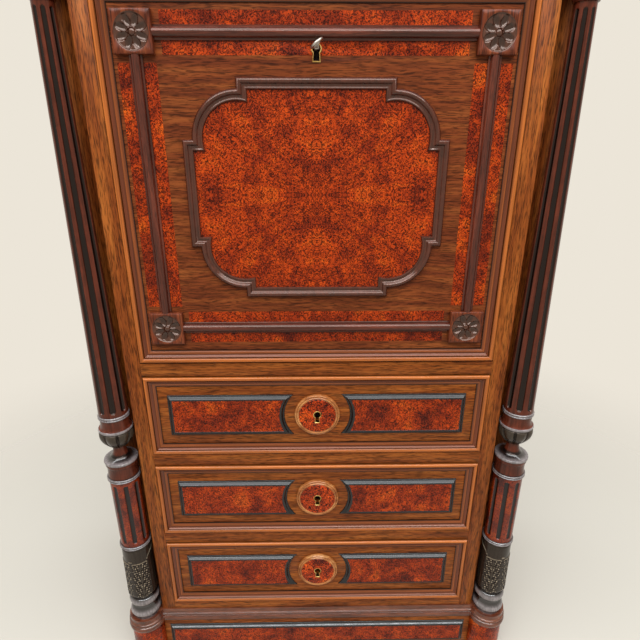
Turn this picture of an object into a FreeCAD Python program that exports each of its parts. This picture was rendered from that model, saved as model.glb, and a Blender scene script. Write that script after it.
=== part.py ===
"""Drop-front secretary: a fall front over three long drawers, with corner columns on round pedestals.

Millimetres, +Z up, the front faces -Y. The origin is the middle of the foot. Y formulas are counted from
the face of the front frame (stiles and rails), positive towards the back.
"""
import FreeCAD, Part
import math
import os
import re

import Sketcher

Vector = FreeCAD.Vector
Rotation = FreeCAD.Rotation
Placement = FreeCAD.Placement

doc = FreeCAD.newDocument("secretary")

# Driving dimensions
DIMENSIONS = (
    ("plinth_high", 92, "floor to base moulding"),
    ("plinth_fore", 2, "plinth and frieze in front of the front frame"),
    ("plinth_thick", 18, "plinth and frieze boards"),
    ("base_bead_high", 12.5, "base moulding, lower bead"),
    ("base_bead_reach", 4.5, "base moulding, lower bead beyond the plinth"),
    ("base_groove_high", 1.5, "base moulding, groove between the beads"),
    ("base_groove_reach", 1.5, "base moulding, groove beyond the plinth"),
    ("base_second_high", 7, "base moulding, upper bead"),
    ("base_second_reach", 3.2, "base moulding, upper bead beyond the plinth"),
    ("base_cove_high", 12, "base moulding, cove and top fillet"),
    ("base_cove_reach", 0.5, "base moulding, cove beyond the plinth"),
    ("base_rail_high", 22, "rail under the lowest drawer"),
    ("rail_high", 26.8, "rails between drawers, under and over the fall"),
    ("opening_wide", 648, "between the stiles"),
    ("stile_wide", 28, "front stile, face width"),
    ("wing_wide", 36, "wing boards between stile and case side"),
    ("case_deep", 410.5, "front frame to the back of the case"),
    ("side_thick", 18, "case sides"),
    ("wing_set_back", 41, "wing boards behind the front frame"),
    ("wing_thick", 18, "wing boards"),
    ("back_thick", 10, "back panel"),
    ("dust_thick", 10, "dust boards"),
    ("guide_high", 25, "drawer guides"),
    ("frieze_high", 92, "frieze over the top rail"),
    ("cornice_fillet_high", 10, "cornice, lowest step"),
    ("cornice_fillet_reach", 4, "cornice, lowest step beyond the frieze"),
    ("cornice_cove_high", 16, "cornice, middle step"),
    ("cornice_cove_reach", 14, "cornice, middle step beyond the frieze"),
    ("cornice_crown_high", 22, "cornice, crown"),
    ("cornice_reach", 28, "cornice, crown beyond the frieze"),
    ("top_thick", 16, "top board"),
    ("top_reach", 20, "top board beyond the frieze"),
    ("strip_end", 13, "long burl panel of plinth and frieze from the end of its board"),
    ("strip_foot", 17, "long burl panel above the bottom of its board"),
    ("strip_drop", 13.4, "long burl panel below the top of its board"),
    ("strip_mould_wide", 9.5, "ebonised edge of the long panels"),
    ("strip_mould_rise", 7.8, "ebonised edge of the long panels off the board"),
    ("raised_panel", 7, "burl panels of plinth, frieze and drawers off the board"),
    ("veneer_panel", 2, "burl panel of the fall off the board"),
    ("column_gap", 0.5, "columns and drums to the case"),
    ("drum_radius", 36.5, "round pedestals and frieze drums"),
    ("foot_inset", 3.3, "lower ring of the column foot inside the radius of the pedestal"),
    ("foot_high", 6.5, "column foot, plain part on the base moulding"),
    ("scotia_high", 10, "hollow of the column foot"),
    ("foot_ring_high", 19.5, "rings of the column foot"),
    ("column_inset", 8, "fluted drum and hollows inside the radius of the pedestal"),
    ("ring_inset", 5, "turned rings inside the radius of the pedestal"),
    ("ring_high", 8, "turned rings"),
    ("collar_inset", 3.5, "carved collar inside the radius of the pedestal"),
    ("collar_swell", 14, "carved collar, rounded lower end"),
    ("collar_high", 52.5, "carved collar, widest part"),
    ("collar_fall", 74, "carved collar, slope up to the fluted drum"),
    ("drum_high", 162, "fluted drum between its rings"),
    ("spool_inset", 7.5, "spool inside the radius of the pedestal"),
    ("spool_high", 24, "spool under the flange"),
    ("flange_inset", 4.5, "spool flange inside the radius of the pedestal"),
    ("flange_rise", 9, "spool flange, underside"),
    ("flange_high", 5, "spool flange, edge"),
    ("flange_slope", 20, "spool flange, upper slope"),
    ("neck_radius", 12, "neck between flange and bulb"),
    ("neck_high", 8, "neck between flange and bulb"),
    ("bulb_inset", 3.3, "gadrooned bulb inside the radius of the pedestal"),
    ("bulb_rise", 22, "gadrooned bulb, lower curve"),
    ("bulb_high", 16, "gadrooned bulb, widest part"),
    ("bulb_fall", 8, "gadrooned bulb, upper curve"),
    ("shaft_inset", 9.5, "shaft at its foot inside the radius of the pedestal"),
    ("shaft_drum_high", 18.5, "plain drum over the bulb"),
    ("shaft_ring_inset", 7.7, "ring at the foot of the shaft inside the radius of the pedestal"),
    ("shaft_top_radius", 15.5, "shaft under the capital"),
    ("capital_ring_radius", 19, "capital, lower ring"),
    ("capital_ring_high", 8, "capital, lower ring"),
    ("capital_bell_high", 24, "capital, bell"),
    ("capital_inset", 5.5, "top of the capital's bell inside the radius of the drum above"),
    ("abacus_inset", 2.5, "capital's top disc inside the radius of the drum above"),
    ("abacus_high", 18, "capital, top disc"),
    ("fall_high", 588, "fall front"),
    ("fall_core", 22, "fall front, board"),
    ("fall_set_back", 5, "field of the fall and of the drawers behind the front frame"),
    ("fall_gap", 1, "gap at the sides and top of the fall"),
    ("fall_gap_low", 2, "gap under the fall"),
    ("fall_mould_wide", 23, "edge moulding of the fall"),
    ("fall_mould_rise", 11, "edge moulding of the fall off its field"),
    ("hinge_back", 10, "pivot axis behind the front frame"),
    ("hinge_up", 20, "pivot axis above the bottom of the fall"),
    ("hinge_clear", 0.8, "fall to the coves that it turns in"),
    ("rail_land", 0.2, "flat left in front of the rail's cove"),
    ("pin_radius", 3.5, "fall pivots"),
    ("pin_clear", 0.05, "fall pivots in their plates, all round"),
    ("pin_reach", 10, "fall pivots into the stiles"),
    ("pivot_thick", 3, "pivot plates on the fall"),
    ("pivot_wide", 14, "pivot plates"),
    ("pivot_long", 54, "pivot plates on the fall"),
    ("socket_long", 36, "pivot plates in the stiles"),
    ("socket_deep", 12, "pivot plates in the stiles"),
    ("block_size", 58, "corner blocks"),
    ("block_rise", 10, "corner blocks off the field"),
    ("block_from_side", 57, "block middle from the edge of the fall"),
    ("block_from_top", 61, "block middle from the top of the fall"),
    ("block_from_low", 67, "block middle from the bottom of the fall"),
    ("roundel_radius", 24.5, "sunk roundel of a block"),
    ("roundel_deep", 5, "sunk roundel of a block"),
    ("boss_radius", 9, "boss of a rosette"),
    ("boss_high", 4, "boss of a rosette"),
    ("rod_wide", 20, "rods with their side fillets"),
    ("rod_base", 3, "side fillets of the rods off the field"),
    ("rod_radius", 7, "half-round rods"),
    ("centre_from_side", 56.5, "centre moulding from the axis of the upright rods"),
    ("centre_from_top", 58, "centre moulding from the axis of the level rods"),
    ("centre_step", 15.5, "centre moulding, step beside the round corners"),
    ("centre_arc", 72, "centre moulding, round corners"),
    ("centre_mould_wide", 17, "centre moulding"),
    ("centre_mould_rise", 9, "centre moulding off the field"),
    ("key_from_top", 81, "key axis below the top of the fall"),
    ("key_radius", 3, "key shank"),
    ("key_fore", 34, "key shank in front of the field"),
    ("key_end_gap", 1, "end of the key to its bit, and to the back of the lock"),
    ("key_bow", 9, "key bow, middle of its ring"),
    ("key_wire", 2, "key bow, half thickness"),
    ("key_bit", 9, "key bit from the axis"),
    ("key_bit_wide", 5, "key bit along the shank"),
    ("key_bit_thick", 3, "key bit"),
    ("key_tilt", 37, "key bow from level, degrees"),
    ("plate_radius", 7.8, "escutcheon of the fall, round top"),
    ("plate_foot_wide", 13, "escutcheon of the fall, foot"),
    ("plate_drop", 18, "escutcheon of the fall below the key axis"),
    ("plate_wall", 2.2, "escutcheon of the fall, round its keyhole"),
    ("plate_thick", 1.5, "escutcheon of the fall"),
    ("lock_half", 35, "fall lock, middle to side"),
    ("lock_high", 99, "fall lock"),
    ("lock_deep", 14, "fall lock"),
    ("lock_wall", 4, "fall lock, back plate"),
    ("lock_chamber", 12, "fall lock, round chamber of the key"),
    ("bolt_half", 10, "lock bolt, middle to side"),
    ("bolt_thick", 5, "lock bolt"),
    ("bolt_clear", 0.3, "lock bolt in its channel"),
    ("bolt_throw", 10, "travel of the lock bolt"),
    ("mortise_room", 1.5, "lock bolt in the mortise of the rail above"),
    ("leather_thick", 1.2, "writing leather"),
    ("leather_side", 55, "leather from the edge of the fall"),
    ("leather_low", 62, "leather from the bottom of the fall"),
    ("leather_top", 130, "leather from the top of the fall"),
    ("stay_radius", 180, "quadrant stays about the pivot axis"),
    ("stay_wide", 12, "quadrant stays, radially"),
    ("stay_thick", 4, "quadrant stays"),
    ("stay_inset", 8, "quadrant stays from the edge of the opening"),
    ("stay_head_radius", 4.5, "stop on the tail of a stay"),
    ("stay_head_wide", 10, "stop on the tail of a stay"),
    ("stay_foot_thick", 3, "foot of a stay on the fall"),
    ("stay_foot_high", 40, "foot of a stay on the fall"),
    ("stay_room", 1.5, "stays to their guides and slots"),
    ("guide_wide", 15, "stay guide off the stile"),
    ("guide_deep", 6, "stay guide, front to back"),
    ("guide_tall", 40, "stay guide"),
    ("desk_thick", 18, "desk floor"),
    ("desk_lip", 5, "desk floor's front edge behind the closed fall"),
    ("lining_thick", 10, "side linings of the desk"),
    ("pigeon_side_gap", 24, "pigeonholes from the side linings"),
    ("pigeon_front", 75, "pigeonholes behind the front frame"),
    ("pigeon_board", 8, "pigeonhole boards"),
    ("pigeon_low", 200, "lowest compartment"),
    ("pigeon_row", 120, "row of pigeonholes"),
    ("drawer_high", 169, "drawer fronts"),
    ("drawer_gap", 1, "gap round the drawer fronts"),
    ("drawer_core", 22, "drawer fronts, board"),
    ("drawer_mould_wide", 21.5, "edge moulding of the drawers"),
    ("drawer_mould_rise", 10, "edge moulding of the drawers off their field"),
    ("drawer_room", 15, "drawer backs from the back panel"),
    ("drawer_side", 10, "drawer sides and backs"),
    ("drawer_bottom", 6, "drawer bottoms"),
    ("drawer_bottom_up", 8, "drawer bottoms above the lower edge of the sides"),
    ("drawer_lift", 0.4, "drawer sides above the dust boards"),
    ("drawer_head", 6, "drawer sides below the rail above"),
    ("drawer_slip", 1, "drawer sides to the guides"),
    ("box_inset", 3, "drawer sides from the edge of the opening"),
    ("panel_end", 39, "drawer panels from the ends of the front"),
    ("panel_edge", 41, "drawer panels from the upper and lower edges of the front"),
    ("panel_hollow", 19.5, "hollow end of the drawer panels from the medallion"),
    ("panel_mould_wide", 9.5, "ebonised edge of the drawer panels"),
    ("panel_mould_rise", 7.8, "ebonised edge of the drawer panels off the field"),
    ("medal_rim", 5, "medallion, rim"),
    ("medal_shoulder", 3, "medallion, slope of the rim"),
    ("medal_ring", 8, "medallion, width of the ring round its burl disc"),
    ("medal_disc_rise", 1, "medallion, burl disc off the rim"),
    ("medal_slope_in", 3, "medallion, rim slope inwards"),
    ("thread_up", 3, "key axis above the middle of a drawer front"),
    ("thread_radius", 8, "keyhole thread, round top"),
    ("thread_half", 5.5, "keyhole thread, half width of its foot"),
    ("thread_drop", 18, "keyhole thread below the key axis"),
    ("thread_wall", 1.6, "keyhole thread"),
    ("drawer_lock_half", 24, "drawer lock, middle to side"),
    ("drawer_lock_high", 44, "drawer lock"),
    ("drawer_lock_deep", 12, "drawer lock"),
)

sheet = doc.addObject("Spreadsheet::Sheet", "dims")
for row, (alias, value, note) in enumerate(DIMENSIONS, start=1):
    sheet.set(f"A{row}", note)
    sheet.set(f"B{row}", str(value))
    sheet.setAlias(f"B{row}", alias)
doc.recompute()

# Levels and edges worked out from the driving dimensions
DERIVED = (
    ("open_half", "opening_wide / 2"),
    ("stile_out", "open_half + stile_wide"),
    ("side_in", "stile_out + wing_wide"),
    ("case_half", "side_in + side_thick"),
    ("inner_back", "case_deep - back_thick"),
    ("stile_deep", "wing_set_back + wing_thick"),
    ("column_back", "wing_set_back - drum_radius - column_gap"),
    ("column_x", "stile_out + drum_radius + column_gap"),
    ("plinth_half", "column_x - drum_radius"),
    ("front_y", "(drum_radius + cornice_reach - column_back - case_deep) / 2"),
    ("base_top", "plinth_high + base_bead_high + base_groove_high + base_second_high + base_cove_high"),
    ("drawer_open", "drawer_high + 2 * drawer_gap"),
    ("sill_3", "base_top + base_rail_high"),
    ("head_3", "sill_3 + drawer_open"),
    ("sill_2", "head_3 + rail_high"),
    ("head_2", "sill_2 + drawer_open"),
    ("sill_1", "head_2 + rail_high"),
    ("head_1", "sill_1 + drawer_open"),
    ("rail_fall_top", "head_1 + rail_high"),
    ("fall_low", "rail_fall_top + fall_gap_low"),
    ("fall_top", "fall_low + fall_high"),
    ("fall_half", "open_half - fall_gap"),
    ("fall_back", "fall_set_back + fall_core"),
    ("rail_top_low", "fall_top + fall_gap"),
    ("rail_top_top", "rail_top_low + rail_high"),
    ("frieze_top", "rail_top_top + frieze_high"),
    ("cornice_top", "frieze_top + cornice_fillet_high + cornice_cove_high + cornice_crown_high"),
    ("hinge_z", "fall_low + hinge_up"),
    ("hinge_in", "fall_back - hinge_back"),
    ("desk_level", "hinge_z + hinge_in"),
    ("desk_front", "fall_back + desk_lip"),
    ("desk_cove", "sqrt(hinge_in ^ 2 + hinge_up ^ 2) + hinge_clear"),
    ("rail_cove", "sqrt(hinge_back ^ 2 + (hinge_up + fall_gap_low) ^ 2) - rail_land"),
    ("key_z", "fall_top - key_from_top"),
    ("block_x", "fall_half - block_from_side"),
    ("block_top_z", "fall_top - block_from_top"),
    ("block_low_z", "fall_low + block_from_low"),
    ("centre_z", "(block_low_z + block_top_z) / 2"),
    ("centre_half_wide", "block_x - centre_from_side"),
    ("centre_half_high", "(block_top_z - block_low_z) / 2 - centre_from_top"),
    ("stay_x", "open_half - stay_inset"),
    ("stay_guide_y", "fall_back + stay_foot_thick + stay_room"),
    ("stay_guide_z", "hinge_z + sqrt(stay_radius ^ 2 - (stay_guide_y + guide_deep / 2 - hinge_back) ^ 2)"),
    ("stay_drop", "hinge_z - head_1 - dust_thick - stay_head_radius - stay_room"),
    ("stay_tail", "asin(stay_drop / stay_radius)"),
    ("stay_start", "acos((hinge_in + stay_foot_thick / 2) / stay_radius)"),
    ("drawer_half", "open_half - drawer_gap"),
    ("drawer_back", "fall_set_back + drawer_core"),
    ("drawer_deep", "inner_back - drawer_room - drawer_back"),
    ("box_half", "open_half - box_inset"),
    ("panel_half", "drawer_half - panel_end"),
    ("panel_high", "drawer_high - 2 * panel_edge"),
    ("medal_radius", "panel_high / 2"),
    ("panel_arc", "medal_radius + panel_hollow"),
    ("medal_disc", "medal_radius - medal_ring"),
    ("medal_shoulder_radius", "medal_radius - medal_slope_in"),
    ("pigeon_half", "open_half - pigeon_side_gap"),
    ("column_radius", "drum_radius - column_inset"),
    ("ring_radius", "drum_radius - ring_inset"),
    ("foot_radius", "drum_radius - foot_inset"),
    ("collar_radius", "drum_radius - collar_inset"),
    ("spool_radius", "drum_radius - spool_inset"),
    ("flange_radius", "drum_radius - flange_inset"),
    ("bulb_radius", "drum_radius - bulb_inset"),
    ("shaft_radius", "drum_radius - shaft_inset"),
    ("shaft_ring_radius", "drum_radius - shaft_ring_inset"),
    ("capital_radius", "drum_radius - capital_inset"),
    ("abacus_radius", "drum_radius - abacus_inset"),
    ("column_foot_high", "foot_high + scotia_high + 2 * foot_ring_high + collar_swell + collar_high"
                         " + collar_fall"),
    ("column_drum_z", "base_top + column_foot_high"),
    ("column_shaft_z", "column_drum_z + drum_high + 2 * ring_high"),
    ("capital_high", "capital_ring_high + capital_bell_high + abacus_high"),
    ("capital_z", "rail_top_top - capital_high"),
    ("baluster_high", "spool_high + flange_rise + flange_high + flange_slope + neck_high + bulb_rise"
                      " + bulb_high + bulb_fall + shaft_drum_high + ring_high"),
    ("shaft_high", "capital_z - column_shaft_z - baluster_high"),
)

DRIVING = {alias for alias, value, note in DIMENSIONS}
LEVELS = {name for name, formula in DERIVED}


def ex(formula):
    """The document's form of a formula: each plain name is told where it is kept."""
    def owner(match):
        name = match.group(0)
        if name in DRIVING:
            return "dims." + name
        if name in LEVELS:
            return "levels." + name
        return name
    return re.sub(r"[a-z][a-z_0-9]*", owner, str(formula))


levels = doc.addObject("App::VarSet", "levels")
for name, formula in DERIVED:
    levels.addProperty("App::PropertyFloat", name, "levels")
    levels.setExpression(name, ex(formula))
doc.recompute()

# The same values as numbers, for the shapes that are worked out below
size = {alias: float(sheet.get(alias)) for alias in DRIVING}
size.update({name: getattr(levels, name) for name in LEVELS})

UPRIGHT = Rotation()
ALONG_X = Rotation(Vector(0, 1, 0), 90)
ALONG_Y = Rotation(Vector(1, 0, 0), -90)
TO_FRONT = Rotation(Vector(1, 0, 0), 90)
HALF_TURN = Rotation(Vector(0, 0, 1), 180)

nodes = []


def node(obj):
    """Keep a finished piece: its label is the name of its file."""
    nodes.append(obj)
    return obj


def place(obj, x, y, z):
    """Bind an object's place to formulas; y is counted from the face of the front frame."""
    obj.setExpression("Placement.Base.x", ex(x))
    obj.setExpression("Placement.Base.y", ex(f"front_y + {y}"))
    obj.setExpression("Placement.Base.z", ex(z))
    return obj


def board(name, x, y, z):
    """A rectangular board between two formulas in each direction."""
    box = doc.addObject("Part::Box", name)
    for side, (low, high) in (("Length", x), ("Width", y), ("Height", z)):
        box.setExpression(side, ex(f"({high}) - ({low})"))
    return place(box, x[0], y[0], z[0])


def cylinder(name, radius, length, x, y, z, turn=UPRIGHT, angle=None):
    """A round bar from (x, y, z) along the turned Z axis, or a sector of it."""
    bar = doc.addObject("Part::Cylinder", name)
    bar.setExpression("Radius", ex(radius))
    bar.setExpression("Height", ex(length))
    if angle:
        bar.setExpression("Angle", ex(angle))
    bar.Placement = Placement(Vector(), turn)
    return place(bar, x, y, z)


def fuse(name, *pieces):
    joined = doc.addObject("Part::MultiFuse", name)
    joined.Shapes = list(pieces)
    return joined


def cut(name, base, *tools):
    piece = doc.addObject("Part::Cut", name)
    piece.Base = base
    piece.Tool = tools[0] if len(tools) == 1 else fuse(name + "_cutters", *tools)
    return piece


def mirrored(name, source):
    """The same piece on the other side of the middle."""
    twin = doc.addObject("Part::Mirroring", name)
    twin.Source = source
    twin.Normal = Vector(1, 0, 0)
    return twin


def group(name, pieces):
    """Separate solids that share one file."""
    gathered = doc.addObject("Part::Compound", name)
    gathered.Links = list(pieces)
    return gathered


def pair(name, left):
    """A left piece and its twin on the right, in one file."""
    return group(name, (left, mirrored(left.Name + "_twin", left)))


def turned(name, x, y, z, foot, steps, turn=UPRIGHT):
    """A turned piece: from the foot radius up, each step is a radius and the rise to reach it."""
    body = doc.addObject("PartDesign::Body", name)
    sketch = body.newObject("Sketcher::SketchObject", name + "_outline")
    plane = next(item for item in body.Origin.OriginFeatures if item.Role == "XZ_Plane")
    sketch.AttachmentSupport = (plane, [""])
    sketch.MapMode = "FlatFace"

    corners = [(foot, ())]
    for radius, rise in steps:
        below = corners[-1][1]
        corners.append((radius, below + (rise,) if rise else below))
    points = [Vector(size[radius], sum(size[rise] for rise in rises), 0) for radius, rises in corners]
    ring = [Vector()] + points + [Vector(0, points[-1].y, 0)]
    count = len(ring)
    sketch.addGeometry([Part.LineSegment(ring[i], ring[(i + 1) % count]) for i in range(count)], False)
    for i in range(count):
        sketch.addConstraint(Sketcher.Constraint("Coincident", i, 2, (i + 1) % count, 1))
    sketch.addConstraint(Sketcher.Constraint("Coincident", 0, 1, -1, 1))
    for i, ((radius, rises), point) in enumerate(zip(corners, points), start=1):
        across = sketch.addConstraint(Sketcher.Constraint("DistanceX", -1, 1, i, 1, point.x))
        sketch.setExpression(f"Constraints[{across}]", ex(radius))
        if rises:
            up = sketch.addConstraint(Sketcher.Constraint("DistanceY", -1, 1, i, 1, point.y))
            sketch.setExpression(f"Constraints[{up}]", ex(" + ".join(rises)))
        else:
            sketch.addConstraint(Sketcher.Constraint("PointOnObject", i, 1, -1))
    sketch.addConstraint(Sketcher.Constraint("PointOnObject", count - 1, 1, -2))
    sketch.addConstraint(Sketcher.Constraint("Horizontal", count - 2))

    turning = body.newObject("PartDesign::Revolution", name + "_turning")
    turning.Profile = sketch
    turning.ReferenceAxis = (sketch, ["V_Axis"])
    turning.Angle = 360
    body.Tip = turning
    body.Placement = Placement(Vector(), turn)
    return place(body, x, y, z)


def made(name, shape):
    """A piece whose shape is worked out from the sheet's numbers, at its place in front of the frame."""
    feature = doc.addObject("Part::Feature", name)
    feature.Shape = shape
    feature.Placement = Placement(Vector(0, size["front_y"], 0), Rotation())
    return feature


# Outlines in the XZ plane, moved inwards by an inset: straight edges have two points and arcs three
def rectangle(x_low, x_high, z_low, z_high):
    def outline(inset):
        corners = [
            (x_low + inset, z_low + inset), (x_high - inset, z_low + inset),
            (x_high - inset, z_high - inset), (x_low + inset, z_high - inset),
        ]
        return list(zip(corners, corners[1:] + corners[:1]))
    return outline


def stepped_frame(inset):
    """The centre moulding: straight sides that step out between rounded corners."""
    half_wide = size["centre_half_wide"]
    half_high = size["centre_half_high"]
    middle = size["centre_z"]
    arc_x = half_wide - size["centre_step"] - size["centre_arc"]
    arc_z = half_high - size["centre_step"] - size["centre_arc"]
    radius = size["centre_arc"] - inset
    chord = math.sqrt(radius ** 2 - inset ** 2)
    bulge = radius * math.sqrt(0.5)
    step_top = (arc_x - inset, half_high - inset)
    arc_start = (arc_x - inset, arc_z + chord)
    arc_middle = (arc_x + bulge, arc_z + bulge)
    arc_end = (arc_x + chord, arc_z - inset)
    step_side = (half_wide - inset, arc_z - inset)
    quarter = [(step_top, arc_start), (arc_start, arc_middle, arc_end), (arc_end, step_side)]

    def turned_to(edge, sign_x, sign_z):
        moved = [(sign_x * x, middle + sign_z * z) for x, z in edge]
        return tuple(moved if sign_x == sign_z else reversed(moved))

    edges = []
    for sign_x, sign_z in ((1, 1), (1, -1), (-1, -1), (-1, 1)):
        part = [turned_to(edge, sign_x, sign_z) for edge in quarter]
        edges += part if sign_x == sign_z else reversed(part)
    closed = []
    for edge, following in zip(edges, edges[1:] + edges[:1]):
        closed.append(edge)
        if edge[-1] != following[0]:
            closed.append((edge[-1], following[0]))
    return closed


def hollow_ended(side, middle):
    """A drawer panel: three straight sides and an inner end hollowed round the medallion."""
    def outline(inset):
        end = size["panel_half"] - inset
        half_high = size["panel_high"] / 2 - inset
        radius = size["panel_arc"] + inset
        tip = math.sqrt(radius ** 2 - half_high ** 2)
        edges = [
            ((tip, half_high), (end, half_high)),
            ((end, half_high), (end, -half_high)),
            ((end, -half_high), (tip, -half_high)),
            ((tip, -half_high), (radius, 0), (tip, half_high)),
        ]
        return [tuple((side * x, middle + z) for x, z in edge) for edge in edges]
    return outline


def edge_at(points, y):
    spots = [Vector(x, y, z) for x, z in points]
    curve = Part.LineSegment(*spots) if len(spots) == 2 else Part.Arc(*spots)
    return curve.toShape()


def moulding(name, outline, profile, wide, rise, face):
    """A mitred moulding inside an outline; the profile is in shares of its width and rise off the face."""
    rings = [[edge_at(points, face - share_up * rise) for points in outline(share_in * wide)]
             for share_in, share_up in profile]
    faces = []
    for ring, following in zip(rings, rings[1:] + rings[:1]):
        faces += [Part.makeRuledSurface(edge, other) for edge, other in zip(ring, following)]
    shell = Part.makeShell(faces)
    shell.sewShape()
    solid = Part.makeSolid(shell)
    if solid.Volume < 0:
        solid.reverse()
    return made(name, solid)


def flat_panel(name, outline, inset, thick, face):
    """A flat panel inside an outline, standing off a face."""
    wire = Part.Wire([edge_at(points, face) for points in outline(inset)])
    return made(name, Part.Face(wire).extrude(Vector(0, -thick, 0)))


# Moulding profiles, from the outer foot over the crest to the inner foot
BOLECTION = ((0, 0), (0, 0.5), (0.08, 0.86), (0.22, 1), (0.36, 0.86), (0.43, 0.5), (0.46, 0.72),
             (0.5, 0.7), (0.58, 0.48), (0.72, 0.36), (0.76, 0.44), (0.9, 0.25), (1, 0.16), (1, 0))
RAISED_BEAD = ((0, 0), (0, 0.45), (0.2, 0.9), (0.36, 1), (0.52, 0.86), (0.66, 0.45), (1, 0.22), (1, 0))
RAISED_EDGE = ((0, 0), (0, 0.15), (0.16, 0.28), (0.74, 0.95), (0.86, 1), (1, 0.9), (1, 0))


# Plinth: front and side boards standing on the floor
plinth_across = ("-plinth_half", "plinth_half")
plinth_depth = ("-plinth_fore", "plinth_thick - plinth_fore")
plinth_front = board("plinth_front", plinth_across, plinth_depth, (0, "plinth_high"))
plinth_side = board("plinth_side",
                    ("-case_half - plinth_fore", "plinth_thick - case_half - plinth_fore"),
                    ("wing_set_back", "case_deep"), (0, "plinth_high"))
node(group("plinth_boards", (plinth_front, plinth_side, mirrored("plinth_side_twin", plinth_side))))

# Round pedestals under the columns, and the drums over their capitals
pedestal = cylinder("pedestal", "drum_radius", "plinth_high", "-column_x", "column_back", 0)
frieze_drum = cylinder("frieze_drum", "drum_radius", "frieze_high",
                       "-column_x", "column_back", "rail_top_top")
node(group("corner_drums", (
    pedestal, mirrored("pedestal_twin", pedestal), frieze_drum, mirrored("frieze_drum_twin", frieze_drum))))


def slab(name, reach, low, high):
    """One layer that covers the case and both corner drums and reaches beyond them."""
    middle = board(name + "_middle",
                   (f"-case_half - plinth_fore - {reach}", f"case_half + plinth_fore + {reach}"),
                   (f"-plinth_fore - {reach}", "case_deep"), (low, high))
    corner = cylinder(name + "_corner", f"drum_radius + {reach}", f"{high} - ({low})",
                      "-column_x", "column_back", low)
    return [middle, corner, mirrored(name + "_corner_twin", corner)]


def layers(name, steps, low):
    """A moulded slab built up from layers of different reach."""
    pieces = []
    for count, (reach, high) in enumerate(steps):
        pieces += slab(f"{name}_{count}", reach, low, f"{low} + {high}")
        low = f"{low} + {high}"
    return fuse(name, *pieces)


# Base moulding: two beads, a groove and a cove, mitred round the pedestals
node(layers("base_moulding", (
    ("base_bead_reach", "base_bead_high"), ("base_groove_reach", "base_groove_high"),
    ("base_second_reach", "base_second_high"), ("base_cove_reach", "base_cove_high")), "plinth_high"))

# Cornice and top board
node(layers("cornice", (
    ("cornice_fillet_reach", "cornice_fillet_high"), ("cornice_cove_reach", "cornice_cove_high"),
    ("cornice_reach", "cornice_crown_high")), "frieze_top"))
node(layers("top_board", (("top_reach", "top_thick"),), "cornice_top"))

# Case: sides, wings behind the columns, stiles, back, frieze
side_left = node(board("side_left", ("-case_half", "-side_in"), ("wing_set_back", "case_deep"),
                       ("base_top", "frieze_top")))
node(mirrored("side_right", side_left))
wing = board("wing", ("-side_in", "-stile_out"), ("wing_set_back", "wing_set_back + wing_thick"),
             ("base_top", "frieze_top"))
node(pair("wing_boards", wing))
node(board("back_panel", ("-side_in", "side_in"), ("inner_back", "case_deep"), ("base_top", "frieze_top")))
node(board("frieze", plinth_across, plinth_depth, ("rail_top_top", "frieze_top")))

# Pivot plates in the stiles, with the bores that the fall's pivots turn in
socket_room = (("-open_half - socket_deep", "-open_half"),
               ("hinge_back - pivot_wide / 2", "hinge_back + pivot_wide / 2"),
               ("hinge_z - socket_long / 2", "hinge_z + socket_long / 2"))
socket_bore = cylinder("socket_bore", "pin_radius + pin_clear", "socket_deep",
                       "-open_half - socket_deep", "hinge_back", "hinge_z", ALONG_X)
socket_left = cut("socket_left", board("socket_blank", *socket_room), socket_bore)

# Stay guides on the stiles, each with a slot that its quadrant stay runs through
stay_guide_blank = board("stay_guide_blank", ("-open_half", "guide_wide - open_half"),
                         ("stay_guide_y", "stay_guide_y + guide_deep"),
                         ("stay_guide_z - guide_tall / 2", "stay_guide_z + guide_tall / 2"))
stay_guide_slot = board("stay_guide_slot",
                        ("-stay_x - stay_thick / 2 - stay_room", "stay_thick / 2 + stay_room - stay_x"),
                        ("stay_guide_y", "stay_guide_y + guide_deep"),
                        ("stay_guide_z - stay_wide / 2 - 2 * stay_room",
                         "stay_guide_z + stay_wide / 2 + 2 * stay_room"))
stay_guide = cut("stay_guide", stay_guide_blank, stay_guide_slot)
node(group("fall_fittings", (
    socket_left, mirrored("socket_right", socket_left), stay_guide, mirrored("stay_guide_twin", stay_guide))))

# Front frame: stiles let out for the pivot plates, and the rails
stile_left = node(cut("stile_left",
                      board("stile_blank", ("-stile_out", "-open_half"), (0, "stile_deep"),
                            ("base_top", "rail_top_top")),
                      board("stile_housing", *socket_room)))
node(mirrored("stile_right", stile_left))

across = ("-open_half", "open_half")
bolt_depth = ("fall_back - lock_wall - bolt_thick", "fall_back - lock_wall")
bolt_mortise = board("bolt_mortise",
                     ("-bolt_half - mortise_room", "bolt_half + mortise_room"),
                     (f"{bolt_depth[0]} - mortise_room", f"{bolt_depth[1]} + mortise_room"),
                     ("rail_top_low", "rail_top_low + bolt_throw + mortise_room"))
node(cut("rail_top", board("rail_top_blank", across, (0, "stile_deep"), ("rail_top_low", "rail_top_top")),
         bolt_mortise))
rail_hollow = cylinder("rail_hollow", "rail_cove", "opening_wide",
                       "-open_half", "hinge_back", "hinge_z", ALONG_X)
node(cut("rail_fall", board("rail_fall_blank", across, (0, "stile_deep"), ("head_1", "rail_fall_top")),
         rail_hollow))
node(group("drawer_rails", [
    board(f"rail_{count}", across, (0, "stile_deep"), heights)
    for count, heights in enumerate((
        ("head_2", "sill_1"), ("head_3", "sill_2"), ("base_top", "sill_3")), start=1)]))

# Dust boards: over the desk, over the first drawer, and under each drawer
node(group("dust_boards", [
    board(f"dust_{count}", ("-side_in", "side_in"), ("stile_deep", "inner_back"), heights)
    for count, heights in enumerate((
        ("rail_top_low", "rail_top_low + dust_thick"), ("head_1", "head_1 + dust_thick"),
        ("sill_1 - dust_thick", "sill_1"), ("sill_2 - dust_thick", "sill_2"),
        ("sill_3 - dust_thick", "sill_3")), start=1)]))

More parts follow.
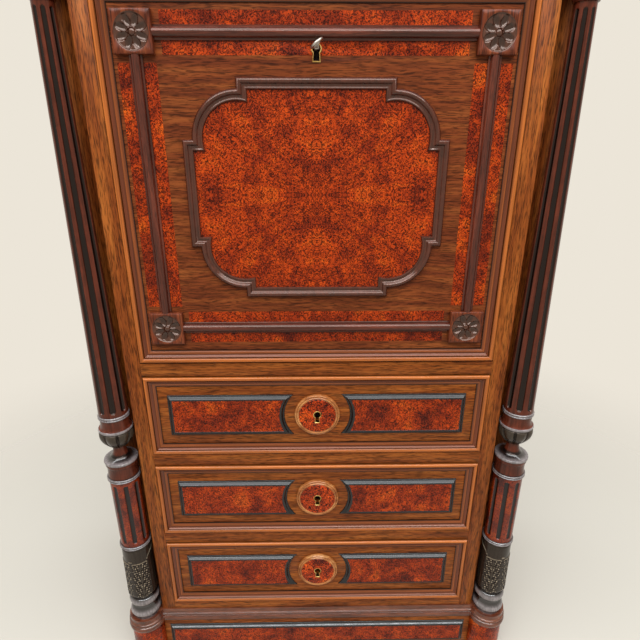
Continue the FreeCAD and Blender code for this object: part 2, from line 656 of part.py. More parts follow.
# Drawer guides beside each drawer
guides = []
for number in (1, 2, 3):
    guide = board(f"guide_{number}", ("-side_in", "-box_half - drawer_slip"), ("stile_deep", "inner_back"),
                  (f"sill_{number}", f"sill_{number} + guide_high"))
    guides += [guide, mirrored(f"guide_{number}_twin", guide)]
node(group("drawer_guides", guides))

# Desk: floor with a coved front edge and slots for the stays
floor_blank = board("floor_blank", across, ("desk_front", "inner_back"),
                    ("desk_level - desk_thick", "desk_level"))
floor_cove = cylinder("floor_cove", "desk_cove", "opening_wide",
                      "-open_half", "hinge_back", "hinge_z", ALONG_X)
stay_slot = board("stay_slot",
                  ("-stay_x - stay_head_wide / 2 - stay_room", "stay_head_wide / 2 + stay_room - stay_x"),
                  ("hinge_back + stay_radius - stay_wide / 2 - 2 * stay_room",
                   "hinge_back + stay_radius + stay_wide / 2 + 2 * stay_room"),
                  ("desk_level - desk_thick", "desk_level"))
node(cut("desk_floor", floor_blank, floor_cove, stay_slot, mirrored("stay_slot_twin", stay_slot)))

# Desk: side linings and pigeonholes
lining = board("lining", ("-open_half - lining_thick", "-open_half"), ("stile_deep", "inner_back"),
               ("head_1 + dust_thick", "rail_top_low"))
pigeon_deep = ("pigeon_front", "inner_back")
shelf_low = "desk_level + pigeon_low"
shelf_high = f"{shelf_low} + pigeon_board + pigeon_row"
pigeon_side = board("pigeon_side", ("-pigeon_half", "pigeon_board - pigeon_half"), pigeon_deep,
                    ("desk_level", "rail_top_low"))
shelf_across = ("pigeon_board - pigeon_half", "pigeon_half - pigeon_board")
shelves = [board(f"shelf_{count}", shelf_across, pigeon_deep, (low, f"{low} + pigeon_board"))
           for count, low in enumerate((shelf_low, shelf_high), start=1)]
dividers = [board(f"divider_{count}",
                  (f"{share} * pigeon_half - pigeon_board / 2", f"{share} * pigeon_half + pigeon_board / 2"),
                  pigeon_deep, (f"{shelf_low} + pigeon_board", shelf_high))
            for count, share in enumerate((-0.5, 0, 0.5), start=1)]
node(group("pigeonholes", [
    lining, mirrored("lining_twin", lining), pigeon_side, mirrored("pigeon_side_twin", pigeon_side),
    *shelves, *dividers]))

# Long burl panels of plinth and frieze, each raised on an ebonised edge
strips = []
strip_mouldings = []
strip_half = size["plinth_half"] - size["strip_end"]
for where, low, high in (("plinth", 0, size["plinth_high"]),
                         ("frieze", size["rail_top_top"], size["frieze_top"])):
    strip = rectangle(-strip_half, strip_half, low + size["strip_foot"], high - size["strip_drop"])
    face = -size["plinth_fore"]
    strips.append(flat_panel(f"{where}_strip", strip, size["strip_mould_wide"], size["raised_panel"], face))
    strip_mouldings.append(moulding(f"{where}_strip_moulding", strip, RAISED_EDGE,
                                    size["strip_mould_wide"], size["strip_mould_rise"], face))
node(group("strip_panels", strips))
node(group("strip_panel_mouldings", strip_mouldings))

# Columns, from the foot to the capital
axis = ("-column_x", "column_back")
node(pair("column_feet", turned("column_foot", *axis, "base_top", "ring_radius", (
    ("ring_radius", "foot_high"), ("foot_radius", None), ("foot_radius", "foot_ring_high"),
    ("column_radius", None), ("column_radius", "scotia_high"), ("ring_radius", None),
    ("ring_radius", "foot_ring_high"), ("column_radius", None), ("collar_radius", "collar_swell"),
    ("collar_radius", "collar_high"), ("column_radius", "collar_fall")))))
node(pair("column_drums", turned("column_drum", *axis, "column_drum_z", "ring_radius", (
    ("ring_radius", "ring_high"), ("column_radius", None), ("column_radius", "drum_high"),
    ("ring_radius", None), ("ring_radius", "ring_high")))))
node(pair("column_shafts", turned("column_shaft", *axis, "column_shaft_z", "spool_radius", (
    ("spool_radius", "spool_high"), ("flange_radius", "flange_rise"), ("flange_radius", "flange_high"),
    ("neck_radius", "flange_slope"), ("neck_radius", "neck_high"), ("bulb_radius", "bulb_rise"),
    ("bulb_radius", "bulb_high"), ("shaft_radius", "bulb_fall"), ("shaft_radius", "shaft_drum_high"),
    ("shaft_ring_radius", None), ("shaft_ring_radius", "ring_high"), ("shaft_radius", None),
    ("shaft_top_radius", "shaft_high")))))
node(pair("column_capitals", turned("column_capital", *axis, "capital_z", "capital_ring_radius", (
    ("capital_ring_radius", "capital_ring_high"), ("shaft_top_radius", None),
    ("capital_radius", "capital_bell_high"), ("abacus_radius", None), ("abacus_radius", "abacus_high")))))

# Fall: pivots let into the ends of the board
pivot_room = (("-fall_half", "pivot_thick - fall_half"),
              ("hinge_back - pin_radius", "hinge_back - pin_radius + pivot_wide"),
              ("hinge_z - pivot_wide / 2", "hinge_z - pivot_wide / 2 + pivot_long"))
pivot_pin = cylinder("pivot_pin", "pin_radius", "pin_reach + fall_gap + pivot_thick",
                     "-open_half - pin_reach", "hinge_back", "hinge_z", ALONG_X)
pivot_left = fuse("pivot_left", board("pivot_plate", *pivot_room), pivot_pin)
node(pair("fall_pivots", pivot_left))


def keyhole(name, radius, half, drop, deep, y, height):
    """A keyhole shape: a round top with a straight foot below it."""
    return fuse(name,
                cylinder(name + "_round", radius, deep, 0, y, height, ALONG_Y),
                board(name + "_foot", (f"-({half})", half), (y, f"{y} + {deep}"),
                      (f"{height} - ({drop})", height)))


# Fall: board with the housings of the lock, the key, the pivots and the leather
fall_blank = board("fall_blank", ("-fall_half", "fall_half"), ("fall_set_back", "fall_back"),
                   ("fall_low", "fall_top"))
lock_room = (("-lock_half", "lock_half"), ("fall_back - lock_deep", "fall_back"),
             ("fall_top - lock_high", "fall_top"))
leather_room = (("leather_side - fall_half", "fall_half - leather_side"),
                ("fall_back - leather_thick", "fall_back"),
                ("fall_low + leather_low", "fall_top - leather_top"))
pivot_housing = board("pivot_housing", *pivot_room)
hole_size = ("plate_radius - plate_wall", "plate_foot_wide / 2 - plate_wall", "plate_drop - plate_wall")
key_bore = keyhole("key_bore", *hole_size, "fall_core", "fall_set_back", "key_z")
node(cut("fall_panel", fall_blank, board("lock_housing", *lock_room), key_bore,
         board("leather_housing", *leather_room), pivot_housing,
         mirrored("pivot_housing_twin", pivot_housing)))
node(board("fall_leather", *leather_room))

# Fall: lock case with a round chamber for the key bit and a channel for the bolt
chamber = cylinder("lock_chamber_room", "lock_chamber", "lock_deep - lock_wall",
                   0, "fall_back - lock_deep", "key_z", ALONG_Y)
channel = board("lock_channel", ("-bolt_half - bolt_clear", "bolt_half + bolt_clear"),
                (f"{bolt_depth[0]} - bolt_clear", f"{bolt_depth[1]}"), ("key_z", "fall_top"))
node(cut("fall_lock", board("fall_lock_blank", *lock_room), chamber, channel))
node(board("fall_lock_bolt", ("-bolt_half", "bolt_half"),
           (bolt_depth[0], f"{bolt_depth[1]} - bolt_clear"),
           ("key_z + lock_chamber + bolt_clear", "fall_top - fall_gap")))

# Fall: key with a ring bow, turned as it stands in the lock
key_end = "fall_core - lock_wall - key_end_gap"
shank = cylinder("key_shank", "key_radius", f"key_fore + {key_end}", 0, "-key_fore", 0, ALONG_Y)
bow = doc.addObject("Part::Torus", "key_ring")
bow.setExpression("Radius1", ex("key_bow"))
bow.setExpression("Radius2", ex("key_wire"))
bit = doc.addObject("Part::Box", "key_flag")
bit.setExpression("Length", ex("key_bit"))
bit.setExpression("Width", ex("key_bit_wide"))
bit.setExpression("Height", ex("key_bit_thick"))
for obj, along, up in ((bow, "-key_fore - key_bow", 0),
                       (bit, f"{key_end} - key_end_gap - key_bit_wide", "-key_bit_thick / 2")):
    obj.setExpression("Placement.Base.y", ex(along))
    obj.setExpression("Placement.Base.z", ex(up))
shank.setExpression("Placement.Base.y", ex("-key_fore"))
key = node(fuse("fall_key", shank, bow, bit))
key.Placement = Placement(Vector(), Rotation(Vector(0, 1, 0), -size["key_tilt"]))
place(key, 0, "fall_set_back", "key_z")

# Fall: escutcheon round the keyhole
plate_face = "fall_set_back - plate_thick"
plate = keyhole("plate", "plate_radius", "plate_foot_wide / 2", "plate_drop", "plate_thick", plate_face, "key_z")
plate_hole = keyhole("plate_hole", *hole_size, "plate_thick", plate_face, "key_z")
node(cut("fall_escutcheon", plate, plate_hole))

# Fall: edge moulding, centre moulding and burl panel
fall_edge = rectangle(-size["fall_half"], size["fall_half"], size["fall_low"], size["fall_top"])
node(moulding("fall_moulding", fall_edge, BOLECTION, size["fall_mould_wide"], size["fall_mould_rise"],
              size["fall_set_back"]))
node(moulding("fall_centre_moulding", stepped_frame, RAISED_BEAD, size["centre_mould_wide"],
              size["centre_mould_rise"], size["fall_set_back"]))
node(flat_panel("fall_burl_panel", stepped_frame, size["centre_mould_wide"], size["veneer_panel"],
                size["fall_set_back"]))

# Fall: corner blocks with a sunk roundel and a boss
blocks = []
for count, (sign, height) in enumerate((
        ("-", "block_top_z"), ("", "block_top_z"), ("-", "block_low_z"), ("", "block_low_z")), start=1):
    middle = f"{sign}block_x"
    blank = board(f"block_{count}_blank", (f"{middle} - block_size / 2", f"{middle} + block_size / 2"),
                  ("fall_set_back - block_rise", "fall_set_back"),
                  (f"{height} - block_size / 2", f"{height} + block_size / 2"))
    roundel = cylinder(f"block_{count}_roundel", "roundel_radius", "roundel_deep",
                       middle, "fall_set_back - block_rise", height, ALONG_Y)
    boss = cylinder(f"block_{count}_boss", "boss_radius", "boss_high",
                    middle, "fall_set_back - block_rise + roundel_deep - boss_high", height, ALONG_Y)
    blocks.append(fuse(f"block_{count}", cut(f"block_{count}_sunk", blank, roundel), boss))
node(group("fall_corner_blocks", blocks))

# Fall: half-round rods on flat fillets, from block to block
rods = []
rod_face = ("fall_set_back - rod_base", "fall_set_back")
for count, height in enumerate(("block_top_z", "block_low_z"), start=1):
    reach = ("block_size / 2 - block_x", "block_x - block_size / 2")
    fillet = board(f"rod_{count}_fillet", reach, rod_face,
                   (f"{height} - rod_wide / 2", f"{height} + rod_wide / 2"))
    half_round = cylinder(f"rod_{count}_round", "rod_radius", "2 * block_x - block_size",
                          reach[0], rod_face[0], height, ALONG_X.multiply(HALF_TURN), 180)
    rods.append(fuse(f"rod_{count}", fillet, half_round))
reach = ("block_low_z + block_size / 2", "block_top_z - block_size / 2")
upright_fillet = board("rod_3_fillet", ("-block_x - rod_wide / 2", "rod_wide / 2 - block_x"), rod_face, reach)
upright_round = cylinder("rod_3_round", "rod_radius", f"{reach[1]} - ({reach[0]})",
                         "-block_x", rod_face[0], reach[0], HALF_TURN, 180)
upright_rod = fuse("rod_3", upright_fillet, upright_round)
node(group("fall_rods", [*rods, upright_rod, mirrored("rod_4", upright_rod)]))

# Fall: quadrant stays about the pivot axis, with a foot on the fall and a stop on the tail
RIGHT_ANGLE = 90
stay_turn = ALONG_X.multiply(Rotation(Vector(0, 0, 1), RIGHT_ANGLE - size["stay_tail"]))
stay_axis = ("-stay_x - stay_thick / 2", "hinge_back", "hinge_z")
stay_outer = cylinder("stay_outer", "stay_radius + stay_wide / 2", "stay_thick", *stay_axis, stay_turn,
                      "stay_tail + stay_start")
stay_inner = cylinder("stay_inner", "stay_radius - stay_wide / 2", "stay_thick", *stay_axis, ALONG_X)
stay_foot = board("stay_foot", ("-stay_x - stay_head_wide / 2", "stay_head_wide / 2 - stay_x"),
                  ("fall_back", "fall_back + stay_foot_thick"),
                  ("hinge_z + stay_radius - stay_foot_high / 2",
                   "hinge_z + stay_radius + stay_foot_high / 2"))
stay_head = cylinder("stay_head", "stay_head_radius", "stay_head_wide",
                     "-stay_x - stay_head_wide / 2", "hinge_back + stay_radius * cos(stay_tail)",
                     "hinge_z - stay_radius * sin(stay_tail)", ALONG_X)
stay_left = fuse("stay_left", cut("stay_arc", stay_outer, stay_inner), stay_foot, stay_head)
node(pair("fall_stays", stay_left))

# Three long drawers, alike but for their height
for number in (1, 2, 3):
    drawer = f"drawer_{number}"
    sill = f"sill_{number}"
    head = f"head_{number}"
    middle = f"({sill} + {head}) / 2"
    key_axis = f"({sill} + {head}) / 2 + thread_up"
    middle_z = (size[sill] + size[head]) / 2
    low_z = size[sill] + size["drawer_gap"]
    high_z = size[head] - size["drawer_gap"]
    medal_high = "medal_rim + medal_shoulder + medal_disc_rise"

    # Front board with the lock's housing and the keyhole
    lock_room = (("-drawer_lock_half", "drawer_lock_half"),
                 ("drawer_back - drawer_lock_deep", "drawer_back"),
                 (f"{middle} - drawer_lock_high / 2", f"{middle} + drawer_lock_high / 2"))
    node(cut(f"{drawer}_front",
             board(f"{drawer}_blank", ("-drawer_half", "drawer_half"), ("fall_set_back", "drawer_back"),
                   (f"{sill} + drawer_gap", f"{head} - drawer_gap")),
             board(f"{drawer}_lock_housing", *lock_room),
             keyhole(f"{drawer}_hole", "thread_radius - thread_wall", "thread_half - thread_wall",
                     "thread_drop - thread_wall", "drawer_core", "fall_set_back", key_axis)))

    # Edge moulding, and the two panels raised on their ebonised edges
    edge = rectangle(-size["drawer_half"], size["drawer_half"], low_z, high_z)
    node(moulding(f"{drawer}_moulding", edge, BOLECTION, size["drawer_mould_wide"],
                  size["drawer_mould_rise"], size["fall_set_back"]))
    outlines = [(side, hollow_ended(sign, middle_z)) for side, sign in (("left", -1), ("right", 1))]
    node(group(f"{drawer}_panels", [
        flat_panel(f"{drawer}_panel_{side}", outline, size["panel_mould_wide"], size["raised_panel"],
                   size["fall_set_back"]) for side, outline in outlines]))
    node(group(f"{drawer}_panel_mouldings", [
        moulding(f"{drawer}_panel_moulding_{side}", outline, RAISED_EDGE, size["panel_mould_wide"],
                 size["panel_mould_rise"], size["fall_set_back"]) for side, outline in outlines]))

    # Turned medallion, pierced for the keyhole thread
    medal = turned(f"{drawer}_medal_turned", 0, "fall_set_back", middle, "medal_radius", (
        ("medal_radius", "medal_rim"), ("medal_shoulder_radius", "medal_shoulder"), ("medal_disc", None),
        ("medal_disc", "medal_disc_rise")), TO_FRONT)
    thread_front = f"fall_set_back - ({medal_high})"
    node(cut(f"{drawer}_medallion", medal,
             keyhole(f"{drawer}_medal_hole", "thread_radius", "thread_half", "thread_drop", f"({medal_high})",
                     thread_front, key_axis)))

    # Brass keyhole thread in the medallion, and the lock behind the front
    thread = cut(f"{drawer}_thread",
                 keyhole(f"{drawer}_thread_out", "thread_radius", "thread_half", "thread_drop",
                         f"({medal_high})", thread_front, key_axis),
                 keyhole(f"{drawer}_thread_in", "thread_radius - thread_wall", "thread_half - thread_wall",
                         "thread_drop - thread_wall", f"({medal_high})", thread_front, key_axis))
    lock = cut(f"{drawer}_lock_case", board(f"{drawer}_lock_blank", *lock_room),
               cylinder(f"{drawer}_lock_hole", "thread_radius - thread_wall", "drawer_lock_deep / 2",
                        0, "drawer_back - drawer_lock_deep", key_axis, ALONG_Y))
    node(group(f"{drawer}_lock", (thread, lock)))

    # Box: sides, back and bottom
    low = f"{sill} + drawer_lift"
    high = f"{head} - drawer_head"
    inner = "box_half - drawer_side"
    side = board(f"{drawer}_side", ("-box_half", f"-({inner})"),
                 ("drawer_back", "drawer_back + drawer_deep"), (low, high))
    back = board(f"{drawer}_back", (f"-({inner})", inner),
                 ("drawer_back + drawer_deep - drawer_side", "drawer_back + drawer_deep"), (low, high))
    bottom = board(f"{drawer}_bottom", (f"-({inner})", inner),
                   ("drawer_back", "drawer_back + drawer_deep - drawer_side"),
                   (f"{low} + drawer_bottom_up", f"{low} + drawer_bottom_up + drawer_bottom"))
    node(group(f"{drawer}_box", (side, mirrored(f"{drawer}_side_twin", side), back, bottom)))

doc.recompute()

# Every object must have been made, and every piece must be sound, before anything is written
for obj in doc.Objects:
    if {"Invalid", "Error"} & set(obj.State):
        raise RuntimeError(f"{obj.Name} failed: {obj.State}")
for piece in nodes:
    if piece.Shape.isNull() or not piece.Shape.isValid():
        raise RuntimeError(f"{piece.Label} has no sound shape")
    if not piece.Shape.Solids or min(solid.Volume for solid in piece.Shape.Solids) <= 0:
        raise RuntimeError(f"{piece.Label} has no solid")

os.makedirs("parts", exist_ok=True)
for piece in nodes:
    piece.Shape.exportStep(f"parts/{piece.Label}.step")
print(len(nodes), "pieces")
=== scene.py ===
from math import asin, atan2, cos, degrees, hypot, pi, radians, sin, sqrt, tau

import bmesh
import bpy
from mathutils import Matrix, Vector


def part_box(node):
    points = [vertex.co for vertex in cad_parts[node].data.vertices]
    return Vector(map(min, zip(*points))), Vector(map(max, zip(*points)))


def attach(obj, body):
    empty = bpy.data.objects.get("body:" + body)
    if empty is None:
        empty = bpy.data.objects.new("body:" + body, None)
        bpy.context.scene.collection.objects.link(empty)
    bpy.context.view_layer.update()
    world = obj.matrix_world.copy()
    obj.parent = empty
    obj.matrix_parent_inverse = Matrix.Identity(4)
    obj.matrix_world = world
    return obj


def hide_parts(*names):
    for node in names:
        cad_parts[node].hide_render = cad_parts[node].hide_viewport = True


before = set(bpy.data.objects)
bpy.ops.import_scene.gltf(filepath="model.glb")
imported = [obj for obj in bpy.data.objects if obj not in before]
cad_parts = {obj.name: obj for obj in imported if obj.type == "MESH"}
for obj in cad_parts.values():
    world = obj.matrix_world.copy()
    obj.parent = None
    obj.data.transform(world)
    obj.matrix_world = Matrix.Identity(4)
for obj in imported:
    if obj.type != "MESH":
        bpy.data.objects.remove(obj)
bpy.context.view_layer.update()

# Plinth: a front board and two side boards that stand on the floor, softwood veneered in rosewood.
# The grain runs the long way of each board, and the edges are eased by hand and polished.
# Shapes are drawn in millimetres, with y counted back from the face of the front frame.
MM = 0.001
FRAME_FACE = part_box("rail_top")[0].y
CREASE = 35


def srgb(red, green, blue):
    """A screen colour, 0 to 255, made linear."""
    return [(part / 255 / 12.92) if part < 11 else ((part / 255 + 0.055) / 1.055) ** 2.4
            for part in (red, green, blue)]


def feed(node, sockets):
    """Link or set sockets of a node."""
    for name, value in sockets.items():
        if isinstance(value, bpy.types.NodeSocket):
            node.id_data.links.new(value, node.inputs[name])
        else:
            node.inputs[name].default_value = value


def add(near, kind, sockets, **settings):
    """A new node in the tree of a socket or node, with its settings and sockets."""
    node = near.id_data.nodes.new("ShaderNode" + kind)
    for name, value in settings.items():
        setattr(node, name, value)
    feed(node, sockets)
    return node.outputs


def finish(name, gloss, shine=0.3, metal=0.0, tint=(1, 1, 1)):
    """A new material, its shader and the place of a point; tint colours its reflections."""
    material = bpy.data.materials.new(name)
    material.use_nodes = True
    shader = material.node_tree.nodes["Principled BSDF"]
    feed(shader, {"Roughness": gloss, "Specular IOR Level": shine, "Specular Tint": (*tint, 1),
                  "Metallic": metal})
    return material, shader, add(shader, "TexCoord", {})["Object"]


def ramp(factor, *stops):
    """Colours along a factor, each stop a place and a colour."""
    outputs = add(factor, "ValToRGB", {"Fac": factor})
    line = outputs[0].node.color_ramp
    line.elements[0].position = stops[0][0]
    line.elements[1].position = stops[-1][0]
    for stop in stops[1:-1]:
        line.elements.new(stop[0])
    for element, stop in zip(line.elements, stops):
        element.color = (*stop[1], 1)
    return outputs["Color"]


def blend(mode, share, under, over):
    sockets = {"Fac": share, "Color1": under, "Color2": over}
    return add(under, "MixRGB", sockets, blend_type=mode)["Color"]


def darken(colour, share, factor, low, high, dark):
    """A colour times a grey, dark to white between two values of a factor."""
    mask = ramp(factor, (low, [dark] * 3), (high, [1] * 3))
    return blend("MULTIPLY", share, colour, mask)


def noise(place, scale, detail, output="Fac", **more):
    """Noise at a place; more sets other sockets of its node."""
    return add(place, "TexNoise", {"Vector": place, "Scale": scale, "Detail": detail, **more})[output]


def shaken(place, scale, reach):
    """A place shaken by noise, so that lines wander."""
    drift = noise(place, scale, 2, "Color")
    return add(place, "VectorMath", {0: drift, 1: [reach] * 3, 2: place}, operation="MULTIPLY_ADD")[0]


def drawn_out(place, grain, along, across, detail):
    """Noise drawn out along one axis, like grain."""
    scale = [across] * 3
    scale[grain] = along
    return noise(add(place, "Mapping", {"Vector": place, "Scale": scale})[0], 1, detail)


def roughen(shader, factor, smooth, rough):
    """Roughness that drifts between two values."""
    drift = add(shader, "MapRange", {"Value": factor, "From Min": 0.3, "From Max": 0.7,
                                     "To Min": smooth, "To Max": rough})
    feed(shader, {"Roughness": drift["Result"]})


def raise_up(shader, height, strength, distance):
    """Fine relief in the surface, in metres."""
    bump = add(shader, "Bump", {"Height": height, "Strength": strength, "Distance": distance})
    feed(shader, {"Normal": bump["Normal"]})


def wood(name, grain, dark, mid, light, gloss=0.32, shine=0.12, figure=(6, 90), lines=0.75,
         wander=0.006, tint=(1, 1, 1)):
    """Polished wood with its figure, dark streaks and pores drawn out along one axis."""
    material, shader, place = finish(name, gloss, shine, tint=tint)
    bent = shaken(place, 9, wander)
    broad = drawn_out(bent, grain, *figure, 4)
    streaks = drawn_out(bent, grain, 14, 260, 3)
    pores = drawn_out(bent, grain, 55, 700, 3)
    colour = ramp(broad, (0.34, dark), (0.5, mid), (0.66, light))
    colour = darken(colour, 0.7 * lines, streaks, 0.38, 0.54, 0.35)
    colour = darken(colour, lines, pores, 0.38, 0.52, 0.15)
    feed(shader, {"Base Color": colour})
    roughen(shader, streaks, gloss + 0.08, gloss - 0.05)
    raise_up(shader, pores, 0.12, 0.0003)
    return material


def woods(name, *tones, **looks):
    """The same wood with its grain along x, y and z."""
    return [wood(f"{name}_{way}", axis, *tones, **looks)
            for axis, way in enumerate(("level", "deep", "upright"))]


def round_off(bm, edges, ease):
    """Ease edges by hand."""
    bmesh.ops.bevel(bm, geom=edges, offset=ease, segments=2, profile=0.5, affect="EDGES", material=-1)


def board(bm, x, y, z, ease=0.6):
    """A board between two values each way; its grain follows its longest side."""
    sides = [high - low for low, high in (x, y, z)]
    made = bmesh.ops.create_cube(bm, size=1)["verts"]
    bmesh.ops.scale(bm, vec=sides, verts=made)
    bmesh.ops.translate(bm, vec=[(low + high) / 2 for low, high in (x, y, z)], verts=made)
    for face in {face for vert in made for face in vert.link_faces}:
        face.material_index = sides.index(max(sides))
    round_off(bm, list({edge for vert in made for edge in vert.link_edges}), ease)


def on_both_sides(bm):
    """The same again on the other side of the middle."""
    bmesh.ops.mirror(bm, geom=bm.verts[:] + bm.edges[:] + bm.faces[:], axis="X", merge_dist=-1)


def put(name, data):
    """A new object in the scene."""
    obj = bpy.data.objects.new(name, data)
    bpy.context.scene.collection.objects.link(obj)
    return obj


def make(name, bm, finishes):
    """A new object from a mesh and its materials."""
    mesh = bpy.data.meshes.new(name)
    bm.to_mesh(mesh)
    bm.free()
    for material in finishes:
        mesh.materials.append(material)
    return put(name, mesh)


def piece(name, bm, body, slot, finishes, *stands_for, crease=CREASE):
    """Finish a mesh, without a drawn piece's own normals, and let it ride on its body."""
    bmesh.ops.recalc_face_normals(bm, faces=bm.faces)
    bmesh.ops.scale(bm, vec=(MM, MM, MM), verts=bm.verts)
    bmesh.ops.translate(bm, vec=(0, FRAME_FACE, 0), verts=bm.verts)
    obj = make(name, bm, finishes)
    mesh = obj.data
    if "custom_normal" in mesh.attributes:
        mesh.attributes.remove(mesh.attributes["custom_normal"])
    mesh.polygons.foreach_set("use_smooth", [True] * len(mesh.polygons))
    mesh.set_sharp_from_angle(angle=radians(crease))
    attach(obj, body)
    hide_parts(*stands_for)


rosewood = woods("rosewood", srgb(132, 65, 25), srgb(152, 80, 31), srgb(172, 97, 40))
PLINTH_HALF = 352.5
PLINTH_Y = (-2, 16)
PLINTH_TOP = 92
CASE_HALF = 406
CASE_BACK = 410.5
PLINTH_REACH = 2
BOARD = 18
WING_FACE = 41

bm = bmesh.new()
outer = -CASE_HALF - PLINTH_REACH
board(bm, (outer, outer + BOARD), (WING_FACE, CASE_BACK), (0, PLINTH_TOP))
on_both_sides(bm)
board(bm, (-PLINTH_HALF, PLINTH_HALF), PLINTH_Y, (0, PLINTH_TOP))
piece("plinth", bm, "case", "rosewood", rosewood, "plinth_boards")

# Round pedestals under the columns, and the drums over their capitals: turned softwood cores wrapped
# in burl veneer, orange-red with dark clouds, fine dark worm lines and small eyes.
DRUM_RADIUS = 36.5
COLUMN_X = 389
COLUMN_Y = 4
STEPS_ROUND = 128
BURL_TONES = (
    (0.36, srgb(100, 28, 12)), (0.46, srgb(154, 49, 14)), (0.55, srgb(194, 68, 17)),
    (0.66, srgb(218, 94, 24)))


def worms(place):
    """Distance from fine wriggling lines, where noise passes its middle value."""
    wriggle = noise(place, 200, 1, Distortion=1.4)
    off = add(place, "Math", {0: wriggle, 1: 0.5}, operation="SUBTRACT")[0]
    return add(place, "Math", {0: off}, operation="ABSOLUTE")[0]


def flames(place):
    """Noise drawn out from the middle of a matched panel."""
    parts = add(place, "SeparateXYZ", {"Vector": place})
    angle = add(place, "Math", {0: parts["Z"], 1: parts["X"]}, operation="ARCTAN2")[0]
    reach = add(place, "VectorMath", {0: place}, operation="LENGTH")["Value"]
    fan = add(place, "CombineXYZ", {"X": angle, "Y": reach})[0]
    fan = add(place, "Mapping", {"Vector": fan, "Scale": (13, 16, 1)})[0]
    return noise(fan, 1, 5, Distortion=1.6)


def blacken(colour, black):
    """A colour that turns black where the mesh is marked as hollow."""
    hollow = add(colour, "Attribute", {}, attribute_name="hollow")["Fac"]
    return blend("MIX", hollow, colour, (*black, 1))


def burl(name, gloss=0.28, shine=0.15, matched_about=None, inlay=None, shade=1):
    """Burl veneer; matched_about folds it in quarters, inlay blackens hollows, shade dims it."""
    material, shader, place = finish(name, gloss, shine)
    if matched_about:
        from_middle = add(place, "VectorMath", {0: place, 1: matched_about}, operation="SUBTRACT")[0]
        place = add(place, "VectorMath", {0: from_middle}, operation="ABSOLUTE")[0]
    swirl = shaken(place, 60, 0.008)
    clouds = noise(swirl, 28, 6, Roughness=0.66)
    patches = noise(swirl, 17, 4, Distortion=1.2)
    clouds = add(place, "Mix", {0: 0.5, 2: clouds, 3: patches})[0]
    if matched_about:
        clouds = add(place, "Mix", {0: 0.26, 2: clouds, 3: flames(place)})[0]
    colour = ramp(clouds, *[(stop, [shade * part for part in tone]) for stop, tone in BURL_TONES])
    colour = darken(colour, 0.84 * shade, worms(swirl), 0.036, 0.09, 0.03)
    eyes = add(place, "TexVoronoi", {"Vector": swirl, "Scale": 280, "Randomness": 1})["Distance"]
    colour = darken(colour, 0.8, eyes, 0.21, 0.42, 0.12)
    if inlay:
        colour = blacken(colour, inlay)
    feed(shader, {"Base Color": colour})
    roughen(shader, clouds, gloss - 0.06, gloss + 0.08)
    return material


def turned(profile, steps=STEPS_ROUND):
    """A mesh of a profile of radius and height, from axis to axis, spun round the upright axis."""
    bm = bmesh.new()
    spots = [bm.verts.new((radius, 0, height)) for radius, height in profile]
    edges = [bm.edges.new(pair) for pair in zip(spots, spots[1:])]
    bmesh.ops.spin(bm, geom=spots + edges, cent=(0, 0, 0), axis=(0, 0, 1), angle=tau, steps=steps,
                   use_merge=True)
    bmesh.ops.remove_doubles(bm, verts=bm.verts, dist=0.002)
    return bm


def at_corner(bm, height):
    """Move a turned piece to the left column, and repeat it on the right."""
    bmesh.ops.translate(bm, vec=(-COLUMN_X, COLUMN_Y, height), verts=bm.verts)
    on_both_sides(bm)


burl_veneer = burl("burl")
EASE = 0.8
FRIEZE_LOW = 1358.2
FRIEZE_TOP = 1450.2

for name, low, high in (("pedestals", 0, PLINTH_TOP), ("frieze_drums", FRIEZE_LOW, FRIEZE_TOP)):
    bm = turned([(0, 0), (DRUM_RADIUS - EASE, 0), (DRUM_RADIUS, EASE), (DRUM_RADIUS, high - low - EASE),
                 (DRUM_RADIUS - EASE, high - low), (0, high - low)])
    at_corner(bm, low)
    piece(name, bm, "case", "burl", [burl_veneer], "corner_drums")

# Base moulding: two beads with a groove between them and a cove above, run in rosewood and mitred
# round the pedestals. It carries the case and the feet of the columns.
STEPS_DRUM = 40
RING_GAP = 50


def sweep(start, end, count):
    """Angles from start to end, evenly spaced."""
    return [start + (end - start) * step / count for step in range(count + 1)]


def roll(low, high, inner, outer, count=6):
    """A half-round bead of a profile, from foot to foot."""
    return [(inner + (outer - inner) * sin(turn), (low + high) / 2 - (high - low) / 2 * cos(turn))
            for turn in sweep(0, pi, count)]


def cove(low, high, start, end, count=6):
    """A hollow of a profile, which leaves its start sideways."""
    return [(start + (end - start) * sin(turn), low + (high - low) * (1 - cos(turn)))
            for turn in sweep(0, pi / 2, count)]


def flare(low, high, start, end, count):
    """A hollow of a profile, which leaves its start upwards."""
    return cove(high, low, end, start, count)[::-1]


def case_plan(reach):
    """The plan of the case with its corner drums, moved outwards: one half, then its twin."""
    side = CASE_HALF + PLINTH_REACH + reach
    radius = DRUM_RADIUS + reach
    to_front = PLINTH_Y[0] - reach - COLUMN_Y
    to_side = side - COLUMN_X
    first = atan2(to_front, -sqrt(radius ** 2 - to_front ** 2)) % tau
    last = atan2(sqrt(radius ** 2 - to_side ** 2), to_side) + tau
    half = [(COLUMN_X + radius * cos(turn), COLUMN_Y + radius * sin(turn))
            for turn in sweep(first, last, STEPS_DRUM)]
    half.append((side, CASE_BACK))
    return half + [(-x, y) for x, y in reversed(half)]


def loft(bm, rings, axis, closed):
    """Skin rings of points: bridged drawn apart along an axis, then set in place."""
    rows = [[bm.verts.new(point) for point in points] for points in rings]
    loops = [[bm.edges.new(pair) for pair in zip(row, row[1:] + row[:1])] for row in rows]
    for count, row in enumerate(rows):
        for spot in row:
            spot.co[axis] = RING_GAP * count
    for one, other in zip(loops, loops[1:] + loops[:1] if closed else loops[1:]):
        bmesh.ops.bridge_loops(bm, edges=one + other)
    for row, points in zip(rows, rings):
        for spot, point in zip(row, points):
            spot.co = point
    return loops


